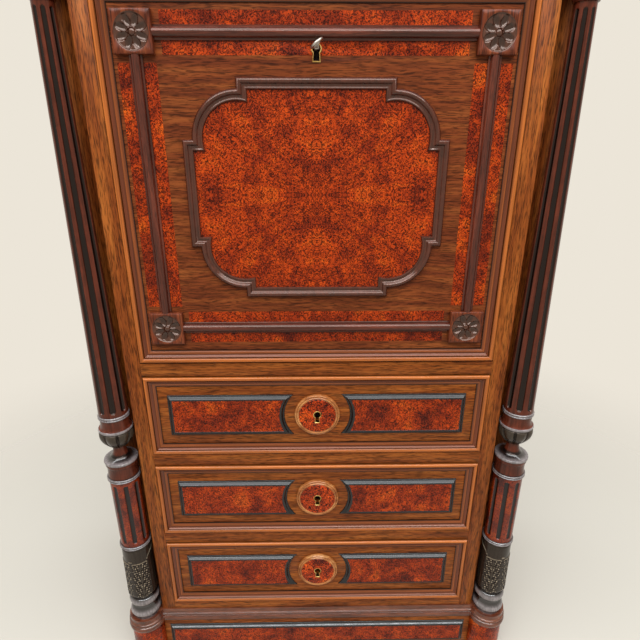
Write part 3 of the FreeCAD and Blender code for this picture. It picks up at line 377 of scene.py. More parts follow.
def paint(bm, choose):
    """Give each face the material that its middle and its normal call for."""
    bm.normal_update()
    for face in bm.faces:
        face.material_index = int(choose(face.calc_center_median(), face.normal))


def run_round_case(name, profile, slot, finishes, node):
    """A moulding run round the case, filled at both ends, its grain along each side."""
    bm = bmesh.new()
    rings = [[(x, y, height) for x, y in case_plan(reach)] for reach, height in profile]
    loops = loft(bm, rings, 2, False)
    for end in (loops[0], loops[-1]):
        bmesh.ops.edgeloop_fill(bm, edges=end)
    paint(bm, lambda middle, normal: abs(normal.x) > 0.7)
    piece(name, bm, "case", slot, finishes, node)


moulding_wood = woods("moulding_rosewood", srgb(82, 38, 25), srgb(104, 52, 33), srgb(124, 68, 45),
                      gloss=0.15, shine=0.7, lines=0.6, tint=(1, 0.88, 0.82))
BASE_TOP = 125
run_round_case("base_mouldings", [
    (0, PLINTH_TOP), *roll(92.4, 104.4, 1.4, 4.5), (1, 104.8), (1, 105.8), *roll(106.2, 112.8, 1, 3.2),
    (0.4, 113.4), *cove(114, 122.4, 2.2, 0.2), (0.5, 122.8), (0.5, 124.4), (0, BASE_TOP)],
    "rosewood", moulding_wood[:2], "base_moulding")

# Case: two sides, the narrow wings behind the columns and the frieze, boards veneered in rosewood with
# upright grain, and a back of plain softwood boards edge to edge, nailed into the sides.
SIDE_IN = 388
STILE_OUT = 352
INNER_BACK = 400.5
HEIGHTS = (BASE_TOP, FRIEZE_TOP)

for name, sign in (("left", -1), ("right", 1)):
    bm = bmesh.new()
    board(bm, sorted((sign * CASE_HALF, sign * SIDE_IN)), (WING_FACE, CASE_BACK), HEIGHTS)
    piece(f"case_side_{name}", bm, "case", "rosewood", rosewood, f"side_{name}")
bm = bmesh.new()
board(bm, (-SIDE_IN, -STILE_OUT), (WING_FACE, WING_FACE + BOARD), HEIGHTS)
on_both_sides(bm)
piece("wings", bm, "case", "rosewood", rosewood, "wing_boards")
bm = bmesh.new()
board(bm, (-PLINTH_HALF, PLINTH_HALF), PLINTH_Y, (FRIEZE_LOW, FRIEZE_TOP))
piece("frieze_board", bm, "case", "rosewood", rosewood, "frieze")

softwood = woods("softwood", srgb(150, 112, 72), srgb(184, 146, 98), srgb(204, 170, 122), gloss=0.62,
                 shine=0.2, figure=(3, 60), lines=0.35)
BACK_BOARDS = 6
BACK_EASE = 1.6
bm = bmesh.new()
wide = 2 * SIDE_IN / BACK_BOARDS
for count in range(BACK_BOARDS):
    left = count * wide - SIDE_IN
    board(bm, (left, left + wide), (INNER_BACK, CASE_BACK), HEIGHTS, BACK_EASE)
piece("back_boards", bm, "case", "carcase_wood", softwood, "back_panel")

# Front frame: stiles and rails of solid rosewood, tenoned together and glued to the wings.
# They are cut for the pivot plates, the lock bolt and the fall, so each is eased from its drawing.
OPEN_HALF = 324
FRAME_DEEP = 59


def eased(node, ease=0.6):
    """A copy of a drawn piece, its triangles joined and its outer edges eased."""
    bm = bmesh.new()
    bm.from_mesh(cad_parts[node].data)
    bmesh.ops.translate(bm, vec=(0, -FRAME_FACE, 0), verts=bm.verts)
    bmesh.ops.scale(bm, vec=(1 / MM, 1 / MM, 1 / MM), verts=bm.verts)
    bmesh.ops.remove_doubles(bm, verts=bm.verts, dist=0.01)
    bmesh.ops.dissolve_limit(bm, angle_limit=radians(1), verts=bm.verts, edges=bm.edges)
    outer = [edge for edge in bm.edges
             if edge.is_manifold and edge.is_convex and edge.calc_face_angle() > radians(30)]
    round_off(bm, outer, ease)
    return bm


for name in ("left", "right"):
    node = f"stile_{name}"
    piece(f"front_{node}", eased(node), "case", "rosewood", rosewood[2:], node)
piece("rail_over_fall", eased("rail_top"), "case", "rosewood", rosewood[:1], "rail_top")
piece("rail_under_fall", eased("rail_fall", 0.3), "case", "rosewood", rosewood[:1], "rail_fall")
SILLS = {1: 542.6, 2: 344.8, 3: 147}
HEADS = {1: 713.6, 2: 515.8, 3: 318}
bm = bmesh.new()
for low, high in ((HEADS[2], SILLS[1]), (HEADS[3], SILLS[2]), (BASE_TOP, SILLS[3])):
    board(bm, (-OPEN_HALF, OPEN_HALF), (0, FRAME_DEEP), (low, high))
piece("rails_between_drawers", bm, "case", "rosewood", rosewood, "drawer_rails")

# Dust boards and drawer guides: plain planed softwood inside the drawer part. The boards are housed in
# the case sides, and the guides are glued on them beside each drawer.
DUST = 10
GUIDE_HIGH = 25
BOX_HALF = 321
RAIL_TOP_LOW = 1331.4
inside_y = (FRAME_DEEP, INNER_BACK)
bm = bmesh.new()
for low in (RAIL_TOP_LOW, HEADS[1], SILLS[1] - DUST, SILLS[2] - DUST, SILLS[3] - DUST):
    board(bm, (-SIDE_IN, SIDE_IN), inside_y, (low, low + DUST))
piece("dust_panels", bm, "case", "carcase_wood", softwood, "dust_boards")
bm = bmesh.new()
for sill in SILLS.values():
    board(bm, (-SIDE_IN, -BOX_HALF - 1), inside_y, (sill, sill + GUIDE_HIGH))
on_both_sides(bm)
piece("drawer_runners", bm, "case", "carcase_wood", softwood, "drawer_guides")

# Desk: a floor with a coved front edge that the fall turns in, side linings and a set of pigeonholes,
# thin boards of waxed light hardwood with rounded front edges.
DESK_LEVEL = 779.4
LINING = 10
PIGEON_HALF = 300
PIGEON = 8
PIGEON_EASE = 1.6
SHELVES = (979.4, 1107.4)
pigeon_y = (75, INNER_BACK)
hardwood = woods("desk_hardwood", srgb(122, 78, 42), srgb(160, 108, 62), srgb(182, 132, 82), gloss=0.42,
                 figure=(4, 90), lines=0.4)
piece("desk_bottom", eased("desk_floor", 0.3), "case", "interior_wood", hardwood[:1], "desk_floor")
bm = bmesh.new()
board(bm, (-OPEN_HALF - LINING, -OPEN_HALF), inside_y, (HEADS[1] + DUST, RAIL_TOP_LOW))
board(bm, (-PIGEON_HALF, PIGEON - PIGEON_HALF), pigeon_y, (DESK_LEVEL, RAIL_TOP_LOW), PIGEON_EASE)
on_both_sides(bm)
shelf_x = (PIGEON - PIGEON_HALF, PIGEON_HALF - PIGEON)
for shelf in SHELVES:
    board(bm, shelf_x, pigeon_y, (shelf, shelf + PIGEON), PIGEON_EASE)
between_shelves = (SHELVES[0] + PIGEON, SHELVES[1])
for middle in (-PIGEON_HALF / 2, 0, PIGEON_HALF / 2):
    board(bm, (middle - PIGEON / 2, middle + PIGEON / 2), pigeon_y, between_shelves, PIGEON_EASE)
piece("desk_pigeonholes", bm, "case", "interior_wood", hardwood, "pigeonholes")

# Column feet: turned in ebonised wood. Above two glossy rings a collar is carved with acanthus leaves,
# beside a plain part that ends in a raised line, under a plain band. The rings are painted lighter on
# their crests as a painted highlight and darker between them as painted shade; small flecks on the
# leaves and the raised line are painted light as painted highlights, and the veins darker as painted
# shade.
WARM = (1, 0.8, 0.7)
LEAF_TURNS = (24, -48, -120)
LEAF_HALF = 35
LEAF_LOW, LEAF_TOP = 57, 164
LEAF_VEIN = 17
LEAF_RAGGED = 7
LEAF_GROUND = 1.6
RIB_HALF = 1.6
PLAIN_TURN, PLAIN_HALF, PLAIN_ARCH = 132, 73, 18
LINE_HALF = 1.3
RING_SHADE_RADIUS = 31.6
COLLAR_FOOT, COLLAR_SWELL, COLLAR_TAPER = 26.2, 6.7, 0.017
SWELL_LOW, SWELL_TOP = 56, 70
BAND_RADIUS = 29.6
BAND_LOW, FOOT_HIGH = 189, 196
FOOT_STEPS = 180


def dark_polish(name, raised, sunk, gloss, shine=0.5, tint=(1, 1, 1)):
    """Dark polished wood, blackened where the mesh marks it hollow, as a black stain in flutes and as
    painted shade in grooves, and lighter where that mark is low, which on rings and carving is a painted
    highlight.
    """
    material, shader, place = finish(name, gloss, shine, tint=tint)
    grain = drawn_out(place, 2, 14, 260, 4)
    wear_and_glint = noise(place, 60, 4)
    colour = ramp(grain, (0.34, [part * 0.55 for part in raised]), (0.62, raised))
    colour = darken(colour, 0.5, wear_and_glint, 0.4, 0.6, 0.55)
    feed(shader, {"Base Color": blacken(colour, sunk)})
    roughen(shader, wear_and_glint, gloss - 0.06, gloss + 0.1)
    raise_up(shader, grain, 0.06, 0.0003)
    return material


def carve(bm, cut):
    """Carve a turned piece: cut gives depth and darkness from angle, height and radius."""
    hollow = bm.verts.layers.float.new("hollow")
    for vert in bm.verts:
        radius = hypot(vert.co.x, vert.co.y)
        if radius > 1:
            angle = degrees(atan2(vert.co.x, -vert.co.y))
            depth, vert[hollow] = cut(angle, vert.co.z, radius)
            vert.co.xy = vert.co.xy * (1 - depth / radius)


def column_part(profile, steps, cut, height):
    """The same part of both columns: turned, carved and set at its height."""
    bm = turned(profile, steps)
    carve(bm, cut)
    at_corner(bm, height)
    return bm


def clamp(value):
    return max(0, min(1, value))


def off_turn(angle, turn):
    """The angle from a turn, between -180 and 180 degrees."""
    return (angle - turn + 180) % 360 - 180


def collar_cut(angle, height, radius):
    """Cut of the collar: veined lobes beside a midrib, or the plain part and its raised line, with painted
    shade in the veins and between the rings and painted highlights on flecks and on the line.
    """
    if height < LEAF_LOW:
        # Painted shade: the hollows between the rings darken below this radius.
        return 0, clamp((RING_SHADE_RADIUS - radius) / 3)
    aside = min(abs(off_turn(angle, turn)) for turn in LEAF_TURNS)
    share = (height - LEAF_LOW) / (LEAF_TOP - LEAF_LOW)
    ragged = LEAF_RAGGED * abs(sin(pi * height / LEAF_VEIN))
    edge = LEAF_HALF * min(1, 0.66 + share) - ragged
    from_plain = off_turn(angle, PLAIN_TURN) / PLAIN_HALF
    line = LEAF_TOP + PLAIN_ARCH * sqrt(max(0, 1 - from_plain ** 2))
    if aside < edge:
        line -= ragged
    # Painted highlight: the raised line is painted lighter.
    if abs(height - line) < LINE_HALF:
        return 0.4, 0.6
    if height > line:
        return max(0, radius - BAND_RADIUS), 0.975
    if aside > edge:
        return LEAF_GROUND, 0.985
    out = radius * radians(aside)
    if out < RIB_HALF:
        return 0.2, 0.93
    vein = (height - 1.1 * out - 0.04 * out ** 2) / LEAF_VEIN % 1
    sunk = abs(2 * vein - 1) ** 3
    lump = sin(0.8 * out + 0.45 * height) * sin(0.62 * height - 0.5 * out)
    # Painted highlights: small flecks on the lobes are painted light, and the veins darker as painted
    # shade.
    wear_and_glint = sunk < 0.3 and lump > 0.62
    return 0.2 + 2 * sunk + 0.8 * (1 - lump), 0.1 if wear_and_glint else min(1, 0.97 + sunk)


def collar_radius(height):
    """Radius of the collar, which swells from its foot and then tapers."""
    swell = sin(pi / 2 * min(1, (height - SWELL_LOW) / (SWELL_TOP - SWELL_LOW)))
    return COLLAR_FOOT + COLLAR_SWELL * swell - COLLAR_TAPER * max(0, height - SWELL_TOP)


foot = [
    (0, 0), (29.8, 0), (29.6, 5.4), (27.8, 6.2), (30.6, 7), (32.6, 8.8), (33.2, 11.4), (32.9, 14.5),
    (31.6, 18), (29.6, 21.5), (27.4, 24.4), (25.8, 26.4), (24.8, 28.5), (24.6, 31), (25, 33.5), (26, 35.4),
    *roll(36, 55, 26, 31.8, 16), (25.8, 55.6)]
foot += [(collar_radius(height), height) for height in range(LEAF_LOW, BAND_LOW)]
foot += [(BAND_RADIUS, BAND_LOW), (BAND_RADIUS, 195.4), (29, FOOT_HIGH), (0, FOOT_HIGH)]
bm = column_part(foot, FOOT_STEPS, collar_cut, BASE_TOP)
paint(bm, lambda middle, normal: middle.z < BASE_TOP + LEAF_LOW - 1)
# Its light raised colour is the colour of the painted highlights on flecks, the line and the lobes.
carved_black = dark_polish("carved_ebonised", srgb(210, 190, 160), srgb(18, 12, 9), 0.17, 0.36, WARM)
# Rings painted lighter than the dark wood as a painted highlight, and darker in their hollows as painted
# shade.
ring_wood_with_painted_highlight = dark_polish("ring_wood_painted_highlight_and_shade", srgb(140, 129, 128), srgb(26, 17, 15), 0.1, 1)
piece("columns_carved_feet", bm, "case", "dark_wood", [carved_black, ring_wood_with_painted_highlight], "column_feet",
      crease=60)

# Column drums: turned cores wrapped in burl veneer between two rings of dark wood, painted lighter
# on their beads as a painted highlight and darker in their grooves and at their feet as painted shade.
# Eight hollow flutes are cut through the veneer and blackened.
FLUTES = 8
FLUTE_STEP = 360 / FLUTES
FLUTE_TURN = 22.5
DRUM_LOW = 321
DRUM_HIGH = 178
DRUM_BODY, DRUM_RING = 28.5, 31.5
DRUM_FLUTE, DRUM_FLUTE_DEEP, DRUM_FLUTE_END = 9.5, 3.4, 8
RING = 8
COLUMN_STEPS = 192


def off_flute(angle):
    """The angle from the nearest flute."""
    off = (angle - FLUTE_TURN) % FLUTE_STEP
    return min(off, FLUTE_STEP - off)


def flute(angle, height, radius, low, high, depth, half):
    """Cut of hollow flutes with round ends; half is their half width in degrees."""
    across = off_flute(angle) / half
    end = radius * radians(half)
    beyond = max(low + end - height, height - high + end, 0) / end
    scoop = sqrt(max(0, 1 - across ** 2 - beyond ** 2))
    return depth * scoop, min(1, scoop * 2)


def ring(low, high, inner, outer):
    """A turned ring of two beads with a fine groove between them."""
    middle = (low + high) / 2
    return [*roll(low, middle - 0.2, inner, outer), (outer - 1.2, middle),
            *roll(middle + 0.2, high, inner, outer)]


def drum_cut(angle, height, radius):
    """Cut of the drum: flutes between its rings, and dark grooves in these, with painted shade in the
    groove and at the feet of the rings.
    """
    low, high = RING + DRUM_FLUTE_END, DRUM_HIGH - RING - DRUM_FLUTE_END
    depth, dark = flute(angle, height, radius, low, high, DRUM_FLUTE_DEEP, DRUM_FLUTE)
    # Outside the flutes, painted shade darkens the rings where they are narrower than 31 mm.
    return depth, dark if RING < height < DRUM_HIGH - RING else clamp((31 - radius) / 1.5)


drum = [(0, 0), (28, 0), *ring(0, RING, DRUM_BODY, DRUM_RING)]
drum += [(DRUM_BODY, height) for height in [*range(9, 34), *range(34, 142, 6), *range(142, 170)]]
drum += [*ring(DRUM_HIGH - RING, DRUM_HIGH, DRUM_BODY, DRUM_RING), (28, DRUM_HIGH), (0, DRUM_HIGH)]
bm = column_part(drum, COLUMN_STEPS, drum_cut, DRUM_LOW)
paint(bm, lambda middle, normal: not RING < middle.z - DRUM_LOW < DRUM_HIGH - RING)
fluted_burl = burl("burl_with_black_flutes", 0.22, 0.35, inlay=srgb(26, 17, 15), shade=0.55)
piece("columns_fluted_drums", bm, "case", "burl", [fluted_burl, ring_wood_with_painted_highlight], "column_drums")

# Column shafts: turned in dark polished wood. A spool and a hollow flange carry a gadrooned bulb, and
# above a plain drum and a ring the tapering shaft has eight long flutes. The flange's rim, the lip over
# the bulb and the ring are painted lighter as painted highlights, and the spool, the dish under the
# bulb and the bulb's grooves darker as painted shade.
SHAFT_LOW = 499
SHAFT_RING = 130.5
SHAFT_FOOT = 138.5
SHAFT_TOP = 809.2
SHAFT_RADII = (27, 15.5)
SHAFT_FLUTE = 12.5
BULB_LOW, BULB_LIP = 64, 102
BULB_STEPS = 20
BULB_GROOVE = 2.8
NECK = 12
# Heights painted lighter as painted highlights: the flange's rim, the lip and the ring.
PAINTED_HIGHLIGHT_BANDS = ((32, 44), (103.6, 110), (SHAFT_RING, SHAFT_FOOT))


def shaft_cut(angle, height, radius):
    """Cut of the shaft's flutes, the bulb's lobes and grooves, with painted shade in the grooves, and
    painted shade on the spool and in the dish, darker where they are narrower.
    """
    if height > SHAFT_FOOT + 0.5:
        return flute(angle, height, radius, SHAFT_FOOT + 7, SHAFT_TOP - 8, 0.14 * radius, SHAFT_FLUTE)
    if BULB_LOW < height < BULB_LIP + 1.8:
        off = off_flute(angle)
        fade = clamp(min((height - BULB_LOW) / 8, (BULB_LIP - height) / 2))
        groove = max(0, 1 - abs(off - BULB_GROOVE) / BULB_GROOVE)
        lobe = sin(pi * off / FLUTE_STEP)
        return fade * radius * (0.08 * groove + 0.1 * (1 - lobe)), min(1, 0.93 + groove)
    # Painted shade on the spool and in the dish, darker where they are narrower.
    return 0, clamp((30 - radius) / 8) if height < 50 else 0


def shaft_finish(middle, normal):
    """Plain polish, rings painted lighter as a painted highlight, or the carved bulb."""
    height = middle.z - SHAFT_LOW
    if any(low < height < high for low, high in PAINTED_HIGHLIGHT_BANDS):
        return 1
    return 2 if BULB_LOW < height < BULB_LIP + 2 else 0


dish = [
    (31.2, 38.3), (28, 38.8), (24, 39.6), (20.5, 41), (17.6, 43), (15.2, 46), (13.6, 50), (12.5, 55),
    (NECK, 60)]
bulb = [(NECK + 21.1 * sin(pi / 2 * (step / BULB_STEPS) ** 0.85), BULB_LOW + 34 * step / BULB_STEPS)
        for step in range(BULB_STEPS + 1)]
shaft = [
    (0, 0), (28.2, 0), (28.9, 1), (28.4, 8), (28.1, 14), (28.4, 20), (28.9, 24),
    *cove(24.4, 31, 29.2, 30.6)[1:], *roll(32.4, 38, 30.8, 32), *dish, *bulb, (32.1, 101.4), (30.4, 102.4),
    (30.4, 103.4), *roll(104, 109.6, 30.4, 32), (28, 110.4), (26.9, 112), (26.4, 116), (26.2, 121),
    (26.4, 126), (26.8, 129.8), *ring(SHAFT_RING, SHAFT_FOOT, 26.8, 28.8)]
taper = (SHAFT_RADII[0] - SHAFT_RADII[1]) / (SHAFT_TOP - SHAFT_FOOT)
shaft += [(SHAFT_RADII[0] - taper * (height - SHAFT_FOOT), height)
          for height in [*range(139, 168), *range(168, 790, 25), *range(790, 809)]]
shaft += [(SHAFT_RADII[1], SHAFT_TOP), (0, SHAFT_TOP)]
bm = column_part(shaft, COLUMN_STEPS, shaft_cut, SHAFT_LOW)
paint(bm, shaft_finish)
turned_dark = dark_polish("turned_dark_wood", srgb(100, 44, 28), srgb(16, 11, 10), 0.13, 0.32, WARM)
piece("columns_fluted_shafts", bm, "case", "dark_wood", [turned_dark, ring_wood_with_painted_highlight, carved_black],
      "column_shafts")

# Column capitals: a ring, a bell and a round top, turned in the same dark polished wood as the shafts.
# They stand on the shafts and carry the frieze drums.
CAPITAL_LOW = 1308.2
bm = turned([
    (0, 0), (16.6, 0), *roll(0, 8, 17, 19), *flare(8.4, 32, 15.5, 31, 10), (32.6, 32.4),
    *roll(33, 42, 32.4, 34), (31.8, 42.6), *roll(43, 50, 31.6, 33.4), (31, 50), (0, 50)])
at_corner(bm, CAPITAL_LOW)
piece("columns_capitals", bm, "case", "dark_wood", [turned_dark], "column_capitals")

# Cornice and top board: a moulding of fillet, cove and crown runs round the case, under a top board
# with a rounded edge, all in rosewood.
CORNICE_TOP = 1498.2
TOP = 1514.2
run_round_case("cornice_moulding", [
    (0, FRIEZE_TOP), *roll(1450.6, 1459, 1.6, 4), (1.6, 1459.6), *flare(1460, 1477, 2, 14, 8),
    (15.5, 1477.2), (15.5, 1479), *cove(1480, 1497, 17, 27.9, 8), (27.9, CORNICE_TOP)],
    "rosewood", moulding_wood[:2], "cornice")
run_round_case("top", [(17, CORNICE_TOP), *roll(CORNICE_TOP, TOP, 17, 20, 8)],
               "rosewood", rosewood[:2], "top_board")

# Long burl panels of plinth and frieze: flat veneered panels, each raised on a hollowed ebonised edge
# that is mitred at its corners and glued to the board.
STRIP_HALF = 339.5
STRIPS = ((17, 78.6), (1375.2, 1436.8))
PANEL_MOULD = (9.5, 7.8)
PANEL_PROFILE = [
    (0, 0), (0, 0.12), (0.03, 0.21), (0.08, 0.26), (0.13, 0.25), (0.18, 0.22), (0.25, 0.25), (0.34, 0.36),
    (0.45, 0.55), (0.56, 0.76), (0.66, 0.9), (0.76, 0.97), (0.86, 1), (0.94, 0.97), (1, 0.9), (1, 0)]


def rectangle(x_low, x_high, z_low, z_high):
    """The outline of a rectangle, to be drawn in by an inset."""
    def outline(inset):
        return [(x_low + inset, z_low + inset), (x_high - inset, z_low + inset),
                (x_high - inset, z_high - inset), (x_low + inset, z_high - inset)]
    return outline


def mitred(name, outlines, profile, size, face, body, slot, finishes, node):
    """A piece of mitred mouldings inside outlines; points keep their place across the width."""
    wide, rise = size
    bm = bmesh.new()
    across = bm.verts.layers.float.new("across")
    for outline in outlines:
        rings = [[(x, face - up * rise, z) for x, z in outline(inward * wide)] for inward, up in profile]
        for loop, (inward, up) in zip(loft(bm, rings, 1, True), profile):
            for edge in loop:
                edge.verts[0][across] = edge.verts[1][across] = inward
    for side in bm.faces:
        longest = max(side.edges, key=lambda edge: edge.calc_length())
        run = longest.verts[1].co - longest.verts[0].co
        side.material_index = 0 if abs(run.x) > abs(run.z) else 1
    piece(name, bm, body, slot, finishes, node)


ebonised = dark_polish("ebonised", srgb(20, 19, 21), srgb(12, 11, 12), 0.14, 0.45)
mitred("long_panel_mouldings", [rectangle(-STRIP_HALF, STRIP_HALF, *strip) for strip in STRIPS],
       PANEL_PROFILE, PANEL_MOULD, PLINTH_Y[0], "case", "ebonised", [ebonised] * 2,
       "strip_panel_mouldings")


def dress(node, material):
    """Give a drawn piece its finish."""
    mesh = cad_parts[node].data
    mesh.materials.clear()
    mesh.materials.append(material)


dress("strip_panels", burl_veneer)

# Fall: a board veneered in rosewood with level grain, and bands of burl let in flush under the rods.
# Its back, the writing side, is rosewood too, with housings for the lock, the pivots and the leather.
FIELD = 5
FALL_HALF = 323
FALL_LOW, FALL_TOP = 742.4, 1330.4
BLOCK_X = 266
BLOCK_LOW, BLOCK_TOP = 809.4, 1269.4
BAND = 29
BAND_END = 39


def on_front(middle, normal):
    """Whether a face of the fall is on its field."""
    return normal.y < -0.9 and middle.y < FIELD + 1


def in_band(middle, normal):
    """Whether a face of the fall is on a burl band."""
    between_x = abs(middle.x) < BLOCK_X - BAND_END
    between_z = BLOCK_LOW + BAND_END < middle.z < BLOCK_TOP - BAND_END
    upright = between_z and abs(abs(middle.x) - BLOCK_X) < BAND
    level = between_x and min(abs(middle.z - BLOCK_LOW), abs(middle.z - BLOCK_TOP)) < BAND
    return (upright or level) and on_front(middle, normal)


fall_veneer = wood("rosewood_of_the_fall", 0, srgb(108, 50, 25), srgb(128, 63, 30), srgb(146, 78, 37),
                   wander=0.012)
bm = eased("fall_panel", 0.5)
for axis, middles in ((0, (-BLOCK_X, BLOCK_X)), (2, (BLOCK_LOW, BLOCK_TOP))):
    for line in (middle + aside for middle in middles for aside in (-BAND_END, -BAND, BAND, BAND_END)):
        front = [face for face in bm.faces if on_front(face.calc_center_median(), face.normal)]
        parts = {part for face in front for part in (face, *face.edges, *face.verts)}
        spot, way = [0, FIELD, 0], [0, 0, 0]
        spot[axis], way[axis] = line, 1
        bmesh.ops.bisect_plane(bm, geom=list(parts), plane_co=spot, plane_no=way)
paint(bm, in_band)
piece("fall_board", bm, "fall", "rosewood", [fall_veneer, burl_veneer], "fall_panel")

# Edge moulding of the fall: a golden bead outside, a quirk, a hollow and a small slope down to the
# field, mitred at the corners and glued on.
FALL_MOULD = (23, 11)
bead = [(0.21 - 0.2 * cos(turn), 0.5 + 0.5 * sin(turn)) for turn in sweep(0, pi, 10)]
EDGE_PROFILE = [
    (0, 0), *bead, (0.42, 0.46), (0.445, 0.46), (0.45, 0.7), (0.48, 0.73), (0.5, 0.68), (0.54, 0.56),
    (0.6, 0.45), (0.67, 0.38), (0.72, 0.36), (0.725, 0.42), (0.75, 0.45), (0.8, 0.41), (0.88, 0.29),
    (0.96, 0.19), (1, 0.16), (1, 0)]
# Colours across the moulding: the golden stain of the bead, painted shade in the quirk and at both feet,
# and painted highlights on the two small crests.
EDGE_STAIN_AND_PAINTED_LIGHT = (
    (0, srgb(60, 28, 12)), (0.06, srgb(194, 108, 44)), (0.32, srgb(176, 94, 38)), (0.42, srgb(30, 14, 9)),
    (0.47, srgb(124, 62, 34)), (0.7, srgb(92, 42, 22)), (0.75, srgb(146, 76, 34)),
    (0.92, srgb(118, 58, 28)), (0.97, srgb(26, 12, 7)))


def edge_wood(name, grain):
    """Moulding rosewood, stained golden on its bead and brown beyond, with painted shade in its quirk and
    at both feet and painted highlights on its small crests.
    """
    material, shader, place = finish(name, 0.2, 0.42, tint=WARM)
    lines = drawn_out(place, grain, 9, 420, 4)
    across = add(place, "Attribute", {}, attribute_name="across")["Fac"]
    colour = darken(ramp(across, *EDGE_STAIN_AND_PAINTED_LIGHT), 0.55, lines, 0.36, 0.56, 0.4)
    feed(shader, {"Base Color": colour})
    roughen(shader, lines, 0.16, 0.26)
    return material


edge_woods = [edge_wood("edge_moulding_level", 0), edge_wood("edge_moulding_upright", 2)]
mitred("fall_edge_moulding", [rectangle(-FALL_HALF, FALL_HALF, FALL_LOW, FALL_TOP)],
       EDGE_PROFILE, FALL_MOULD, FIELD, "fall", "rosewood", edge_woods, "fall_moulding")

# Rods of the fall: half-round rods on flat fillets, planed in dark polished rosewood. They run from
# block to block and are glued on the burl bands.
BLOCK = 29
ROD_HALF = 10
ROD_FILLET = 3
ROD_RADIUS = 7
ROD_EASE = 0.5
rod_section = [(-ROD_HALF, 0), (-ROD_HALF, ROD_FILLET - ROD_EASE), (ROD_EASE - ROD_HALF, ROD_FILLET)]
rod_section += [(-ROD_RADIUS * cos(turn), ROD_FILLET + ROD_RADIUS * sin(turn))
                for turn in sweep(0, pi, 16)]
rod_section += [(ROD_HALF - ROD_EASE, ROD_FILLET), (ROD_HALF, ROD_FILLET - ROD_EASE), (ROD_HALF, 0)]


def verts_of(parts):
    """The points among parts of a mesh."""
    return [part for part in parts if isinstance(part, bmesh.types.BMVert)]


def rod(bm, half_length, middle, upright):
    """A rod of the section, centred in its place."""
    start = bm.faces.new([bm.verts.new((-half_length, FIELD - up, side)) for side, up in rod_section])
    far = verts_of(bmesh.ops.extrude_face_region(bm, geom=[start], use_keep_orig=True)["geom"])
    bmesh.ops.translate(bm, vec=(2 * half_length, 0, 0), verts=far)
    made = [*start.verts, *far]
    if upright:
        bmesh.ops.rotate(bm, cent=(0, 0, 0), matrix=Matrix.Rotation(pi / 2, 3, "Y"), verts=made)
    bmesh.ops.translate(bm, vec=(middle[0], 0, middle[1]), verts=made)
    for face in {face for vert in made for face in vert.link_faces}:
        face.material_index = int(upright)


rod_woods = [wood(f"rod_rosewood_{way}", axis, srgb(66, 27, 18), srgb(86, 36, 24), srgb(112, 50, 33),
                  gloss=0.16, shine=0.5, lines=0.55, tint=WARM)
             for axis, way in ((0, "level"), (2, "upright"))]
CENTRE_Z = (BLOCK_LOW + BLOCK_TOP) / 2
bm = bmesh.new()
for height in (BLOCK_LOW, BLOCK_TOP):
    rod(bm, BLOCK_X - BLOCK, (0, height), False)
for middle in (-BLOCK_X, BLOCK_X):
    rod(bm, (BLOCK_TOP - BLOCK_LOW) / 2 - BLOCK, (middle, CENTRE_Z), True)
piece("fall_half_round_rods", bm, "fall", "rosewood", rod_woods, "fall_rods")

# Corner blocks of the fall: square rosewood blocks, each carved with a sunk rosette of eight
# spoon-hollow petals round a small boss. The petals are painted darker with their depth as painted shade.
PETALS = 8
ROSETTE = 24.6
ROSETTE_STEPS = 96
PETAL_MIDDLE, PETAL_LONG, PETAL_WIDE, PETAL_DEEP = 15, 9.3, 5.5, 3.4
BOSS = 5.3
BLOCK_RISE = 10
TO_FRONT = Matrix.Rotation(pi / 2, 3, "X")


def rosette_block():
    """A block facing up: a turned rosette whose outer rings are drawn out square."""
    bm = turned([
        (0, 9), (2, 8.8), (3.6, 8.2), (4.8, 7.2), (5.2, 6.4),
        *[(4.6 + step * 0.9, 8) for step in range(1, 22)], (24, 8.3), (ROSETTE, 9.4), (25.4, BLOCK_RISE),
        (28.2, BLOCK_RISE), (BLOCK, BLOCK_RISE - 0.8), (BLOCK, 0), (0, 0)], ROSETTE_STEPS)
    hollow = bm.verts.layers.float.new("hollow")
    for vert in bm.verts:
        radius = hypot(vert.co.x, vert.co.y)
        if radius > ROSETTE + 2:
            vert.co.xy = vert.co.xy * (radius / max(abs(vert.co.x), abs(vert.co.y)))
        elif BOSS < radius < ROSETTE and vert.co.z > 1:
            spread = tau / PETALS
            off = atan2(vert.co.y, vert.co.x) % spread - spread / 2
            along, aside = radius * cos(off), radius * sin(off)
            spoon = 1 - ((along - PETAL_MIDDLE) / PETAL_LONG) ** 2 - (aside / PETAL_WIDE) ** 2
            depth = PETAL_DEEP * sqrt(max(0, spoon))
            vert.co.z -= depth
            # Painted shade: each petal is painted darker where it is deeper.
            vert[hollow] = 0.2 * depth
    paint(bm, lambda middle, normal: hypot(middle.x, middle.y) > ROSETTE + 0.6 or middle.z < 1)
    return bm


bm = rosette_block()
bmesh.ops.rotate(bm, cent=(0, 0, 0), matrix=TO_FRONT, verts=bm.verts)
blocks = [bm.verts[:] + bm.edges[:] + bm.faces[:]]
corners = ((BLOCK_X, BLOCK_TOP), (-BLOCK_X, BLOCK_TOP), (BLOCK_X, BLOCK_LOW), (-BLOCK_X, BLOCK_LOW))
blocks += [bmesh.ops.duplicate(bm, geom=blocks[0])["geom"] for corner in corners[1:]]
for block, (x, z) in zip(blocks, corners):
    bmesh.ops.translate(bm, vec=(x, FIELD, z), verts=verts_of(block))
rosette_wood = dark_polish("rosette_wood", srgb(84, 46, 31), srgb(20, 12, 9), 0.13, 0.65, WARM)
block_wood = wood("block_rosewood", 2, srgb(92, 40, 22), srgb(116, 54, 30), srgb(138, 70, 40), shine=0.2)
piece("fall_rosette_blocks", bm, "fall", "rosewood", [rosette_wood, block_wood], "fall_corner_blocks",
      crease=50)

